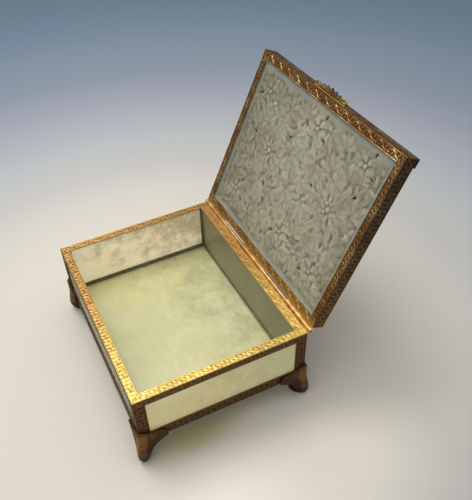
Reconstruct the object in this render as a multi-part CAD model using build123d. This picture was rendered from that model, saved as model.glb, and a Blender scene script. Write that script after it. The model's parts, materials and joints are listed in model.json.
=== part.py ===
"""Footed jewelry box: jade plates in a chased brass frame, with a hinged lid that holds a carved jade plaque.

X runs along the hinge, -Y is the front, +Z is up. The origin is the middle of the box on the surface that
the feet stand on. All sizes are in millimetres. The lid is drawn closed and then turned open, because the
box is stored with its lid leaning back on its stop.
"""
import os
from build123d import *

# Box body
box_width = 150.0
box_depth = 114.0
body_height = 40.7
foot_height = 19.0

# Chased strip that frames the body
strip = 0.8
rim_width = 5.6
rim_drop = 5.8
base_rise = 7.5
base_flange = 6.8
post_leg = 7.2

# Jade plates of the body
wall_plate = 4.0
floor_plate = 2.0

# Strips inside the body
end_strip_height = 3.0
long_strip_height = 1.2
floor_strip = 0.8
corner_strip_leg = 1.6
corner_strip = 0.5

# Notch at the middle of the front rim
notch_length = 1.4
notch_depth = 0.7

# Lid
open_angle = 114.6
lid_gap = 0.2
lid_side_play = 0.2
lid_overhang = 2.2
lid_setback = 0.4
lid_height = 8.6
lid_band = 5.4
front_bar = 1.4
front_bar_width = 5.4

# Carved plaque of the lid
plaque_plate = 4.2
relief_height = 1.5
bloom_petals = 18
bloom_radius = 22.0
bud_petals = 8
bud_radius = 9.5
petal_width = 3.4
pierced_slot = 1.6
petals_per_slot = 3

# Middles of the two large blooms and of the buds, as shares of the lid's width and depth
bloom_places = ((0.27, -0.04), (-0.21, -0.05))
bud_places = ((0.07, 0.27), (-0.33, 0.29), (0.33, 0.3), (0.02, -0.33), (-0.36, -0.32), (0.34, -0.34))

# Hinge
knuckle_count = 5
knuckle_radius = 1.5
pin_radius = 0.7
pin_play = 0.05
knuckle_play = 0.1
axis_behind = 2.3
axis_above = 0.36
leaf = 0.6
leaf_height = 4.6
web = 0.9
heel = 0.6
heel_play = 0.05

# Feet
foot_wing = 17.5
foot_rise = 7.8
foot_peak = 10.6
foot_proud = 1.7
toe_flare = 3.6
toe_width = 7.4
toe_flat = 2.6
bracket_inside = 2.6

# Thumb piece
thumb_length = 33.0
thumb_reach = 5.2
thumb_plate = 1.0
thumb_thick = 2.6
thumb_lobes = 7

# Places that follow from the sizes
half_width = box_width / 2
half_depth = box_depth / 2
rail_level = foot_height
rim_level = rail_level + body_height
wall_inset = strip + wall_plate
floor_top = rail_level + strip + floor_plate
axis_y = half_depth + axis_behind
axis_z = rim_level + axis_above
lid_underside = rim_level + lid_gap
lid_width = box_width - 2 * lid_side_play
lid_depth = box_depth + lid_overhang - lid_setback
lid_middle = -(lid_overhang + lid_setback) / 2
lid_front = lid_middle - lid_depth / 2
lid_back = lid_middle + lid_depth / 2
hinge_axis = Axis((0, axis_y, axis_z), (1, 0, 0))

# The sides in turn, a quarter of a circle apart about Z, and the corners by their signs along X and Y
side_names = ("front", "right", "back", "left")
corners = {"front_left": (-1, -1), "front_right": (1, -1), "back_left": (-1, 1), "back_right": (1, 1)}
parts = {}


def block(x_low, x_high, y_low, y_high, z_low, z_high):
    """A box between two opposite corners."""
    size = (x_high - x_low, y_high - y_low, z_high - z_low)
    middle = ((x_low + x_high) / 2, (y_low + y_high) / 2, (z_low + z_high) / 2)
    return Pos(*middle) * Box(*size)


def mitred_bar(length, out, depth, low, height):
    """A bar along X whose outer edge lies at y = -out and whose ends are cut at 45 degrees."""
    half = length / 2
    outline = [(-half, -out), (half, -out), (half - depth, depth - out), (depth - half, depth - out)]
    face = make_face(Polyline(*outline, close=True))
    return Pos(0, 0, low) * extrude(face, height, dir=(0, 0, 1))


def frame_sides(width, depth):
    """For each side of a rectangular frame: its name, turn, length and distance from the middle."""
    for index, name in enumerate(side_names):
        turn = index * 360 / len(side_names)
        if name in ("front", "back"):
            yield name, turn, width, depth / 2
        else:
            yield name, turn, depth, width / 2


def open_lid(shape):
    """Turns a piece of the closed lid back about the hinge pin."""
    return shape.rotate(hinge_axis, -open_angle)


def body_frame():
    """Rim rails, base rails and corner posts."""
    for name, turn, length, out in frame_sides(box_width, box_depth):
        top = mitred_bar(length, out, rim_width, rim_level - strip, strip)
        face = mitred_bar(length, out, strip, rim_level - rim_drop, rim_drop)
        rail = top + face
        if name == "front":
            inner_edge = rim_width - out
            rail -= block(-notch_length / 2, notch_length / 2, inner_edge - notch_depth, inner_edge + strip,
                          rim_level - 2 * strip, rim_level + strip)
        parts["rim_rail_" + name] = Rot(0, 0, turn) * rail
        flange = mitred_bar(length, out, base_flange, rail_level, strip)
        band = mitred_bar(length, out, strip, rail_level, base_rise)
        parts["base_rail_" + name] = Rot(0, 0, turn) * (flange + band)
    low = rail_level + base_rise
    high = rim_level - rim_drop
    for name, (x_sign, y_sign) in corners.items():
        x_out = x_sign * half_width
        y_out = y_sign * half_depth
        x_leg = sorted((x_out, x_out - x_sign * post_leg))
        y_leg = sorted((y_out, y_out - y_sign * post_leg))
        x_skin = sorted((x_out, x_out - x_sign * strip))
        y_skin = sorted((y_out, y_out - y_sign * strip))
        parts["corner_post_" + name] = block(*x_leg, *y_skin, low, high) + block(*x_skin, *y_leg, low, high)


def jade_body():
    """The four walls and the floor, behind the strips and on the base flanges."""
    low = rail_level + strip
    high = rim_level - strip
    x_in = half_width - wall_inset
    y_in = half_depth - wall_inset
    for name, y_sign in (("front", -1), ("back", 1)):
        y_span = sorted((y_sign * y_in, y_sign * (half_depth - strip)))
        parts["jade_wall_" + name] = block(-x_in, x_in, *y_span, low, high)
    for name, x_sign in (("left", -1), ("right", 1)):
        x_span = sorted((x_sign * x_in, x_sign * (half_width - strip)))
        y_reach = half_depth - strip
        parts["jade_wall_" + name] = block(*x_span, -y_reach, y_reach, low, high)
    parts["jade_floor"] = block(-x_in, x_in, -y_in, y_in, low, floor_top)


def inner_strips():
    """The strips along the foot of each wall and up each inner corner."""
    x_in = half_width - wall_inset
    y_in = half_depth - wall_inset
    for name, x_sign in (("left", -1), ("right", 1)):
        x_span = sorted((x_sign * x_in, x_sign * (x_in - floor_strip)))
        parts["floor_strip_" + name] = block(*x_span, -y_in, y_in, floor_top, floor_top + end_strip_height)
    x_reach = x_in - floor_strip
    for name, y_sign in (("front", -1), ("back", 1)):
        y_span = sorted((y_sign * y_in, y_sign * (y_in - floor_strip)))
        parts["floor_strip_" + name] = block(-x_reach, x_reach, *y_span, floor_top, floor_top + long_strip_height)
    low = floor_top + end_strip_height
    high = rim_level - strip
    for name, (x_sign, y_sign) in corners.items():
        x_leg = sorted((x_sign * x_in, x_sign * (x_in - corner_strip_leg)))
        y_leg = sorted((y_sign * y_in, y_sign * (y_in - corner_strip_leg)))
        x_skin = sorted((x_sign * x_in, x_sign * (x_in - corner_strip)))
        y_skin = sorted((y_sign * y_in, y_sign * (y_in - corner_strip)))
        strip_angle = block(*x_leg, *y_skin, low, high) + block(*x_skin, *y_leg, low, high)
        parts["corner_strip_" + name] = strip_angle


def foot_curves():
    """Outline of the foot's outer surface and of its wing, as (distance, height) points.

    Distances are measured from the frame's outer face, outward for the surface and inward for the wing.
    Heights are measured from the rails' lower edge.
    """
    toe_reach = toe_width - toe_flare
    surface = [(foot_proud, 0), (0.8 * toe_flare, -0.4 * foot_height), (toe_flare, -0.68 * foot_height),
               (0.8 * toe_flare, -0.9 * foot_height), (0, -foot_height)]
    wing = [(foot_wing, 0), (0.58 * foot_wing, -0.22 * foot_height), (1.15 * toe_reach, -0.45 * foot_height),
            (toe_reach, -0.66 * foot_height), (0.9 * toe_reach, -0.86 * foot_height), (toe_flat, -foot_height)]
    return surface, wing


def foot():
    """Bracket foot for the corner at +X -Y: two mitred ogee plates that swell into one toe."""
    surface, wing = foot_curves()
    skin = surface[-1][0]
    toe_reach = toe_width - toe_flare
    shoulder = [(foot_proud, 0), (foot_proud, 0.85 * foot_peak), (0.6 * foot_proud, foot_peak)]

    # Section across a plate: outside the frame above the rails' lower edge, and under the frame below it
    with BuildSketch() as section:
        with BuildLine():
            Polyline((0, 0), (0, foot_peak), *reversed(shoulder))
            Spline(*surface)
            Line((skin, -foot_height), (-toe_flat, -foot_height))
            Spline((-toe_flat, -foot_height), (-toe_reach, -0.66 * foot_height), (-bracket_inside, 0))
            Line((-bracket_inside, 0), (0, 0))
        make_face()

    # The plate seen square on, from the corner's own flare to the tip of the wing
    with BuildSketch() as side:
        with BuildLine():
            Polyline(*[(-reach, height) for reach, height in shoulder], (0.1 * foot_wing, foot_peak))
            Spline((0.1 * foot_wing, foot_peak), (0.45 * foot_wing, foot_rise), (0.85 * foot_wing, 0.8 * foot_rise),
                   (foot_wing, 0.35 * foot_rise), (foot_wing, 0))
            Spline(*wing)
            Line((toe_flat, -foot_height), (-skin, -foot_height))
            Spline(*[(-reach, height) for reach, height in reversed(surface)])
        make_face()

    # Both plates are drawn with the frame's corner at the origin and the box towards -X +Y
    reach = foot_wing + 2 * toe_flare
    facing_right = Plane(origin=(0, 0, 0), x_dir=(0, 1, 0), z_dir=(1, 0, 0))
    facing_front = Plane(origin=(0, 0, 0), x_dir=(1, 0, 0), z_dir=(0, -1, 0))
    mirrored_side = mirror(side.sketch, about=Plane.YZ)
    mirrored_section = mirror(section.sketch, about=Plane.YZ)
    right_plate = extrude(facing_right * side.sketch, reach, both=True)
    right_plate &= extrude(facing_front * section.sketch, reach, both=True)
    front_plate = extrude(facing_front * mirrored_side, reach, both=True)
    front_plate &= extrude(facing_right * mirrored_section, reach, both=True)
    return right_plate + front_plate


def feet():
    """The same foot at each corner, mirrored to suit."""
    base = Pos(half_width, -half_depth, rail_level) * foot()
    parts["foot_front_right"] = base
    parts["foot_front_left"] = mirror(base, about=Plane.YZ)
    parts["foot_back_right"] = mirror(base, about=Plane.XZ)
    parts["foot_back_left"] = mirror(parts["foot_front_left"], about=Plane.XZ)


def knuckle_spans():
    """The ends of each knuckle along X, from left to right."""
    pitch = box_width / knuckle_count
    for index in range(knuckle_count):
        start = index * pitch - half_width
        yield start + knuckle_play, start + pitch - knuckle_play


def barrel(start, end, radius):
    """A round bar on the hinge axis."""
    return Pos((start + end) / 2, axis_y, axis_z) * Rot(0, 90, 0) * Cylinder(radius, end - start)


def hinge():
    """Knuckles with their webs and leaves, turn about between body and lid, and the pin."""
    spans = list(knuckle_spans())
    body_names = ["left", "right"]
    lid_names = ["left", "middle", "right"]
    for index, (start, end) in enumerate(spans):
        bore = barrel(start - knuckle_play, end + knuckle_play, pin_radius + pin_play)
        tube = barrel(start, end, knuckle_radius)
        if index % 2:
            web_bar = block(start, end, half_depth, axis_y, rim_level - web, rim_level)
            leaf_plate = block(start, end, half_depth, half_depth + leaf, rim_level - leaf_height, rim_level)
            name = "hinge_body_knuckle_" + body_names[index // 2]
            parts[name] = tube + web_bar + leaf_plate - bore
        else:
            web_low = axis_z + knuckle_play
            web_bar = block(start, end, lid_back, axis_y, web_low, web_low + web)
            leaf_plate = block(start, end, lid_back, lid_back + leaf, web_low, lid_underside + leaf_height)
            heel_high = axis_z - knuckle_radius + heel
            heel_bar = block(start, end, half_depth + heel_play, axis_y, axis_z - knuckle_radius, heel_high)
            name = "hinge_lid_knuckle_" + lid_names[index // 2]
            parts[name] = tube + open_lid(web_bar + leaf_plate) + heel_bar - bore
    parts["hinge_pin"] = barrel(-half_width + knuckle_play, half_width - knuckle_play, pin_radius)


def lid_frame():
    """Lid rails, the bezel strips that hold the plaque down, and the bar along the front."""
    bezel_low = lid_underside + strip + plaque_plate
    for name, turn, length, out in frame_sides(lid_width, lid_depth):
        band = mitred_bar(length, out, lid_band, lid_underside, strip)
        face = mitred_bar(length, out, strip, lid_underside, lid_height)
        bezel = mitred_bar(length - 2 * strip, out - strip, lid_band - strip, bezel_low,
                           lid_underside + lid_height - bezel_low)
        to_side = Pos(0, lid_middle, 0) * Rot(0, 0, turn)
        parts["lid_rail_" + name] = open_lid(to_side * (band + face))
        parts["lid_bezel_" + name] = open_lid(to_side * bezel)
    low = lid_underside + lid_height
    bar = block(-lid_width / 2, lid_width / 2, lid_front, lid_front + front_bar_width, low, low + front_bar)
    parts["lid_front_bar"] = open_lid(bar)


def ring_of(count, shape, reach, turn=0.0):
    """Copies of a flat shape round the origin, each moved out by reach."""
    return [Rot(0, 0, turn + 360 * index / count) * Pos(reach, 0, 0) * shape for index in range(count)]


def bloom(count, radius):
    """Flat outline of a flower: its petals start under the eye."""
    eye = radius / 4
    root = eye / 2
    petal_length = radius - root
    flower = Circle(eye)
    for petal in ring_of(count, Ellipse(petal_length / 2, petal_width / 2), root + petal_length / 2):
        flower += petal
    return flower


def lid_plaque():
    """Openwork jade plaque: two large blooms in relief, with buds round them.

    Slots are pierced through the plate between the tips of some of the petals.
    """
    base = lid_underside + strip
    plate = Rectangle(lid_width - 2 * strip, lid_depth - 2 * strip)
    blooms = [(*place, bloom_petals, bloom_radius) for place in bloom_places]
    blooms += [(*place, bud_petals, bud_radius) for place in bud_places]
    raised = []
    for width_share, depth_share, count, radius in blooms:
        place = Pos(width_share * lid_width, depth_share * lid_depth)
        flower = bloom(count, radius)
        half_turn = 180 / count
        slots = ring_of(count, Ellipse(pierced_slot, pierced_slot / 2), radius, half_turn)
        for slot in slots[::petals_per_slot]:
            plate -= place * slot
            flower -= slot
        raised.append(place * flower)
    plaque = Pos(0, 0, base) * extrude(plate, plaque_plate)
    for flower in raised:
        plaque += Pos(0, 0, base + plaque_plate) * extrude(flower, relief_height)
    parts["lid_plaque"] = open_lid(Pos(0, lid_middle, 0) * plaque)


def thumb_piece():
    """Leaf crest on the lid's front face: a back plate, and lobes that grow towards the middle."""
    plate_height = lid_height - 2 * strip
    low = lid_underside + strip
    half = thumb_length / 2
    plate = block(-half, half, lid_front - thumb_plate, lid_front, low, low + plate_height)
    crest = plate
    lobe_radius = thumb_length / (thumb_lobes + 1)
    for index in range(thumb_lobes):
        along = (index - (thumb_lobes - 1) / 2) * (thumb_length - 2 * lobe_radius) / (thumb_lobes - 1)
        rise = 1 - 0.5 * (along / half) ** 2
        lobe = Pos(along, 0, 0) * Ellipse(lobe_radius, thumb_reach * rise)
        crest += Pos(0, lid_front, low) * extrude(lobe, thumb_thick) & block(
            -half, half, lid_front - thumb_reach, lid_front, low, low + thumb_thick)
    parts["thumb_piece"] = open_lid(crest)


def write_parts():
    """One STEP file for each piece."""
    os.makedirs("parts", exist_ok=True)
    for name, shape in parts.items():
        export_step(shape, os.path.join("parts", name + ".step"))


body_frame()
jade_body()
inner_strips()
feet()
hinge()
lid_frame()
lid_plaque()
thumb_piece()
write_parts()
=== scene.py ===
"""Finished look of a footed jade jewelry box, laid out as an add-on and run as a script.

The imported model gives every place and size. The chased frame, the cast feet and thumb piece and the carved
plaque are made here in full, and every surface gets its finish. Lengths are in metres.
"""
import json
import math
import random

import bmesh
import bpy
import numpy as np
from mathutils import Matrix, Vector

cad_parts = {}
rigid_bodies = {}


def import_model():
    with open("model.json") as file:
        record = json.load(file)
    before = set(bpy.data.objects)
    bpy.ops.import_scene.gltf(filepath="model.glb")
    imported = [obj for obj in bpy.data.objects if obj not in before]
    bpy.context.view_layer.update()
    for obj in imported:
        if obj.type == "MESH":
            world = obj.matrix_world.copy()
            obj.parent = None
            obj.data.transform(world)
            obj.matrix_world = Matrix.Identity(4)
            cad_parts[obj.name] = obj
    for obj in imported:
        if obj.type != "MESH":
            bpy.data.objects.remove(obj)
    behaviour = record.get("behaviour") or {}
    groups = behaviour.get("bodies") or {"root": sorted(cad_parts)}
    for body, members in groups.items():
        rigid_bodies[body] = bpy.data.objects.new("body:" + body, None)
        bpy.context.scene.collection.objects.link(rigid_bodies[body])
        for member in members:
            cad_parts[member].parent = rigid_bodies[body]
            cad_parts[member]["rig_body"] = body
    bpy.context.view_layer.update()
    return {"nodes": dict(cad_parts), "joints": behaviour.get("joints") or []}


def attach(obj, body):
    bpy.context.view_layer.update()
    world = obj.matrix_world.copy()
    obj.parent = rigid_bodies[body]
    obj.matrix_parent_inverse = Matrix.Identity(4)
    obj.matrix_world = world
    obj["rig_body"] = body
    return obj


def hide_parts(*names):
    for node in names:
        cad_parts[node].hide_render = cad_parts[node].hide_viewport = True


bl_info = {
    "name": "Jade jewelry box",
    "version": (1, 0, 0),
    "blender": (4, 5, 0),
    "location": "View3D > Sidebar > Jade box",
    "description": "Makes the finished pieces of a footed jade box round its packed frame",
    "category": "Object",
}

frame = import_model()
lid_joint = frame["joints"][0]
hinge_point = np.array(lid_joint["pos_m"], float)
open_turn = math.radians(max(lid_joint["range_deg"]))
MM = 0.001


# Places read from the frame

def turned_about_hinge(points, turn):
    """Points turned about the hinge pin."""
    flat = np.asarray(points, float) - hinge_point
    cos, sin = math.cos(turn), math.sin(turn)
    y = flat[:, 1] * cos - flat[:, 2] * sin
    z = flat[:, 1] * sin + flat[:, 2] * cos
    return np.column_stack([flat[:, 0], y, z]) + hinge_point


def open_lid(points):
    """Points of the closed lid as they lie with the lid open at rest."""
    return turned_about_hinge(points, -open_turn)


def flat_points(mesh):
    """Places of a mesh's vertices, one row each."""
    points = np.zeros(len(mesh.vertices) * 3)
    mesh.vertices.foreach_get("co", points)
    return points.reshape(-1, 3)


def box_of(node):
    """Lowest and highest corner of a node. A node of the lid is measured with the lid closed."""
    points = flat_points(frame["nodes"][node].data)
    if frame["nodes"][node]["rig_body"] == "lid":
        points = turned_about_hinge(points, open_turn)
    return points.min(0), points.max(0)


def plan_of(rails):
    """Lowest and highest corner in plan of four rails."""
    return box_of(rails + "left")[0][:2], box_of(rails + "right")[1][:2]


# Nodes written as sums

def adds(operation, reflected=False):
    """An operator of Value that adds one Math node."""
    def added(self, *others):
        return self.kit.maths(operation, *((*others, self) if reflected else (self, *others)))
    return added


class Value:
    """A node's socket that takes part in sums, each of which adds its Math node."""
    __add__, __radd__ = adds("ADD"), adds("ADD", True)
    __sub__, __rsub__ = adds("SUBTRACT"), adds("SUBTRACT", True)
    __mul__, __rmul__ = adds("MULTIPLY"), adds("MULTIPLY", True)
    __truediv__, __rtruediv__ = adds("DIVIDE"), adds("DIVIDE", True)
    __pow__, __mod__, __abs__ = adds("POWER"), adds("FLOORED_MODULO"), adds("ABSOLUTE")
    sin, cos, floor, root = adds("SINE"), adds("COSINE"), adds("FLOOR"), adds("SQRT")
    at_least, at_most = adds("MAXIMUM"), adds("MINIMUM")

    def __init__(self, kit, socket):
        self.kit = kit
        self.socket = socket

    def held(self):
        """The value kept between 0 and 1."""
        return self.at_least(0.0).at_most(1.0)

    def step(self, low, high):
        """A soft step from 0 at low to 1 at high."""
        return self.kit.value("ShaderNodeMapRange", {"interpolation_type": "SMOOTHSTEP"},
                              {"Value": self, "From Min": low, "From Max": high})


class Kit:
    """Adds nodes to one tree, of a material or of geometry."""

    def __init__(self, tree):
        self.tree = tree

    def node(self, kind, settings=None, inputs=None):
        """A node with its settings made first and then the values or links of its sockets."""
        node = self.tree.nodes.new(kind)
        for key, value in (settings or {}).items():
            if key == "stops":
                self.set_stops(node.color_ramp, value)
            else:
                setattr(node, key, value)
        for key, value in (inputs or {}).items():
            if isinstance(value, Value):
                self.tree.links.new(value.socket, node.inputs[key])
            else:
                node.inputs[key].default_value = value
        return node

    @staticmethod
    def set_stops(ramp, stops):
        """Sets a ramp's stops, each (place, colour)."""
        while len(ramp.elements) < len(stops):
            ramp.elements.new(0.5)
        for element, (place, colour) in zip(ramp.elements, stops):
            element.position = place
            element.color = (*colour, 1.0)

    def value(self, kind, settings=None, inputs=None, output=0):
        return Value(self, self.node(kind, settings, inputs).outputs[output])

    def maths(self, operation, *values):
        return self.value("ShaderNodeMath", {"operation": operation}, dict(enumerate(values)))

    def vector_maths(self, operation, *values):
        return self.value("ShaderNodeVectorMath", {"operation": operation}, dict(enumerate(values)))

    def scaled(self, vector, amount):
        return self.value("ShaderNodeVectorMath", {"operation": "SCALE"}, {0: vector, "Scale": amount})

    def joined(self, x, y, z):
        return self.value("ShaderNodeCombineXYZ", None, {0: x, 1: y, 2: z})

    def split(self, vector):
        node = self.node("ShaderNodeSeparateXYZ", None, {0: vector})
        return [Value(self, socket) for socket in node.outputs]

    def mixed(self, share, first, second):
        """A colour between two others."""
        return self.value("ShaderNodeMix", {"data_type": "RGBA"}, {0: share, 6: first, 7: second}, 2)

    def noise(self, place, scale, detail=3.0, roughness=0.55, distortion=0.0):
        return self.value("ShaderNodeTexNoise", None, {
            "Vector": place, "Scale": scale, "Detail": detail, "Roughness": roughness,
            "Distortion": distortion})

    def bump(self, strength, distance, height):
        return self.value("ShaderNodeBump", None, {"Strength": strength, "Distance": distance,
                                                   "Height": height})

    def object_place(self):
        return self.value("ShaderNodeTexCoord", output="Object")

    def attribute(self, name, output="Fac"):
        return self.value("ShaderNodeAttribute", {"attribute_name": name}, output=output)

    def stored(self, name, kind):
        """A named attribute as a geometry tree reads it."""
        return self.value("GeometryNodeInputNamedAttribute", {"data_type": kind}, {"Name": name})

    def moved(self, geometry, **places):
        """Geometry with its points at a Position, or moved by an Offset."""
        return self.value("GeometryNodeSetPosition", None, {"Geometry": geometry, **places})

    def laid(self, points, form, **inputs):
        """A form laid on each point."""
        return self.value("GeometryNodeInstanceOnPoints", None, {
            "Points": points, "Instance": form, **inputs})

    def ring(self, count, radius):
        """Points in a ring round the origin."""
        return self.value("GeometryNodeMeshCircle", {"fill_type": "NONE"}, {
            "Vertices": count, "Radius": radius})

    def with_relief(self, geometry, relief):
        """Geometry that keeps its relief as an attribute for the finish."""
        return self.value("GeometryNodeStoreNamedAttribute", {"data_type": "FLOAT", "domain": "POINT"},
                          {"Geometry": geometry, "Name": "relief", "Value": relief})

    def gathered(self, parts):
        """Several geometries as one."""
        whole = self.node("GeometryNodeJoinGeometry")
        for part in parts:
            self.tree.links.new(part.socket, whole.inputs[0])
        return Value(self, whole.outputs[0])


# Patterns that the geometry and the finish share

def rounded(distance):
    """A round-backed form: 1 on its line and 0 from a distance of 1."""
    return (1.0 - distance * distance).at_least(0.0).root()


def chased_scroll(u, v, pitch):
    """Height of a running leaf scroll, 0 in the ground and 1 on the metal's own surface.

    u runs along the band and v across it, both in half widths of the band.
    """
    half_waves = u * (2.0 / pitch)
    index = half_waves.floor()
    side = index % 2.0 * 2.0 - 1.0
    along = (half_waves - index - 0.5) * (pitch / 2.0)
    across = v * side

    # Stem that swings from edge to edge
    swing = (along * (2.0 * math.pi / pitch)).cos() * 0.58
    stem = rounded((across - swing) / 0.2)

    # Leaf that rolls up under each swing of the stem
    low = across + 0.26
    reach = (along * along + low * low).root()
    angle = along.kit.maths("ARCTAN2", low, along)
    ribs = (angle * 2.0 + reach * 6.0 * side).cos() * 0.5 + 0.5
    leaf = rounded(reach / (ribs * 0.24 + 0.46)) * (ribs * 0.55 + 0.45)
    heart = rounded(reach / 0.15) * 0.95

    # Husks in the gaps where the stem crosses the band
    gap = (half_waves - (half_waves + 0.5).floor()) * (pitch / 2.0)
    strokes = (gap * 4.0 + abs(v) * 4.0).sin() * 0.5 + 0.5
    husk = rounded(gap / 0.46) * abs(v).step(0.26, 0.4) * (strokes * 0.6 + 0.25)

    pattern = stem.at_least(leaf).at_least(heart).at_least(husk)
    inside = 1.0 - abs(v).step(0.82, 0.88)
    border = abs(v).step(0.88, 0.95)
    return (pattern * inside).at_least(border)


# Finishes

# Heights between which the body ends and the open lid starts, and those over which the lid's bronze sides are
# painted darker, as painted shade
LID_STARTS = (0.061, 0.07)
LID_PAINTED_SHADE = (0.075, 0.165)
# Run along X over which the rim's gilding is painted brighter towards the near end, as a painted reflection
# of the light on its top
RIM_PAINTED_SHEEN = (-0.03, 0.075)
# Heights over which the painted black shade of the toes' undersides ends
TOE_SHADE_HEIGHTS = (0.002, 0.018)
CHASED_LINE = (0.13, 0.055, 0.012, 1.0)
TOE_PAINTED_SHADE = (0.012, 0.008, 0.006, 1.0)
PAINTED_EDGE_SHADE = (0.12, 0.11, 0.055, 1.0)
PAINTED_SLOT_LIGHT = (1.0, 0.95, 0.8, 1.0)
JADE_IOR = 1.61
# Half sizes in X and Y within which the box's floor stays clear of the painted shade along its edges, where
# it meets the walls
FLOOR_CLEAR = (0.0675, 0.0495)
# Relief that marks the walls of a slot to be painted pale, as painted light seen through it from behind
PAINTED_LIT = 3.0
# Middle of the closed plaque's underside, away from which the carving grows darker
PALE_SPOT = (0.0, -0.001, 0.061)


def new_finish(name):
    finish = bpy.data.materials.new(name)
    finish.use_nodes = True
    finish.node_tree.nodes.clear()
    return finish, Kit(finish.node_tree)


def close_finish(kit, settings):
    """The Principled surface of a finish, with its settings."""
    shader = kit.node("ShaderNodeBsdfPrincipled", None, settings)
    kit.node("ShaderNodeOutputMaterial", None, {"Surface": Value(kit, shader.outputs[0])})


def rgba(colour):
    """A colour as a socket takes it."""
    return (*colour[:3], 1.0)


def chased_finish(name, colours, pitch):
    """Gilt chased metal: bright where rubbed, brighter on the rim towards its near end as a painted
    reflection, brown and dull in the ground.
    """
    finish, kit = new_finish(name)
    place = kit.object_place()
    u, v, chased = kit.split(kit.attribute("chase", "Vector"))
    gilt = kit.attribute("gilt")
    relief = chased_scroll(u, v, pitch) * chased + (1.0 - chased) * 0.8
    clouds = kit.noise(place, 70.0, 4.0, 0.6)
    grain = kit.noise(place, 1500.0, 2.0, 0.6)
    patches = kit.noise(place, 260.0, 3.0, 0.6)
    filled = (kit.noise(kit.vector_maths("ADD", place, (0.2, 0.5, 0.3)), 90.0, 3.0, 0.5) - 0.5) * 1.3
    along, _, up = kit.split(place)
    lid = up.step(*LID_STARTS)
    plain = (1.0 - kit.noise(place, 170.0, 3.0, 0.5).step(0.4, 0.55)) * (1.0 - lid) * gilt * 0.85
    relief = relief * (1.0 - plain) + plain * 0.72
    level = relief + ((patches - 0.5) * 0.5 + filled) * (lid * 0.6 + 0.4) + (1.0 - lid) * gilt * 0.25
    # Painted reflection: on the rim the gilding grows brighter along X towards the near end, broken up by
    # random clouds and patches of tone; the lid gets none
    bright = (along.step(*RIM_PAINTED_SHEEN) + (clouds - 0.5) * 1.1).held()
    bright = (bright * 0.85 + (patches - 0.5) * 0.5 + 0.08).held() * (1.0 - lid)
    ground = (1.0 - level.step(0.15, 0.7) + (clouds - 0.5) * 0.3).held() * (1.0 - bright * gilt * 0.5)
    body = kit.mixed(bright, rgba(colours.gilt_warm), rgba(colours.gilt_high))
    top = (level + (clouds - 0.5) * 0.5).step(0.7, 1.05) * (lid * 0.6 + 0.4)
    gilded = kit.mixed(top * (1.0 - bright * 0.9), body, rgba(colours.gilt_light))
    hollow = kit.mixed(bright, rgba(colours.gilt_dusk), rgba(colours.gilt_fair))
    hollow = kit.mixed(lid, hollow, rgba(colours.gilt_deep))
    bronzed = kit.mixed(patches.step(0.45, 0.65), rgba(colours.bronze_high), rgba(colours.bronze_warm))
    # Painted shade: the lid's bronze sides grow darker towards their top
    bronzed = kit.mixed(up.step(*LID_PAINTED_SHADE) * 0.8, bronzed, rgba(colours.bronze_deep))
    raised = kit.mixed(gilt, bronzed, gilded)
    shown = kit.mixed(ground, raised, kit.mixed(gilt, rgba(colours.bronze_deep), hollow))
    outline = (1.0 - abs(relief - 0.5) / 0.35).held() * (patches + (clouds - 0.5)).step(0.44, 0.6)
    shown = kit.mixed(outline * bright * gilt * 0.85, shown, CHASED_LINE)
    roughness = ground * 0.3 + grain * 0.12 + (1.0 - gilt) * 0.08 + (1.0 - lid) * 0.1 + 0.24
    height = relief * (lid * 0.55 + 0.45) + grain * 0.12
    close_finish(kit, {"Base Color": shown, "Metallic": 1.0 - ground * 0.45, "Roughness": roughness,
                       "Normal": kit.bump(0.55, 0.22 * MM, height)})
    return finish


def cast_finish(name, colours, rubbed):
    """Cast metal: brown patina, rubbed on its high points, and painted black shade on the toes' undersides.
    """
    finish, kit = new_finish(name)
    place = kit.object_place()
    relief = kit.attribute("relief")
    clouds = kit.noise(place, 120.0, 4.0, 0.6)
    grain = kit.noise(place, 1300.0, 3.0, 0.6)
    high = (relief + (clouds - 0.5) * 1.1).step(0.35, 1.05)
    shown = kit.mixed(high, rgba(colours.cast_deep), rgba(rubbed))
    shown = kit.mixed(clouds.step(0.5, 0.75) * 0.35, shown, rgba(colours.bronze_warm))
    # Painted shade: the toes turn black towards the floor, beneath the box
    worn = (kit.split(place)[2] + (clouds - 0.5) * 0.01).step(*TOE_SHADE_HEIGHTS)
    shown = kit.mixed(worn, TOE_PAINTED_SHADE, shown)
    close_finish(kit, {"Base Color": shown, "Metallic": (high * 0.4 + 0.5) * worn,
                       "Roughness": 0.55 - high * 0.2 + grain * 0.1, "Specular IOR Level": 0.12,
                       "Normal": kit.bump(0.35, 0.2 * MM, grain)})
    return finish


def plain_metal_finish(name, high, deep, roughness, metallic=0.9):
    """Plain drawn metal with a mottled patina and fine draw lines."""
    finish, kit = new_finish(name)
    place = kit.object_place()
    clouds = kit.noise(place, 180.0, 4.0, 0.6)
    along, across, up = kit.split(place)
    lines = kit.noise(kit.joined(along * 0.05, across, up), 4200.0, 2.0, 0.5)
    shown = kit.mixed((clouds + (lines - 0.5) * 0.3).step(0.35, 0.7), rgba(deep), rgba(high))
    close_finish(kit, {"Base Color": shown, "Metallic": metallic,
                       "Roughness": clouds * 0.2 + (roughness - 0.1),
                       "Normal": kit.bump(0.25, 0.1 * MM, lines)})
    return finish


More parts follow.
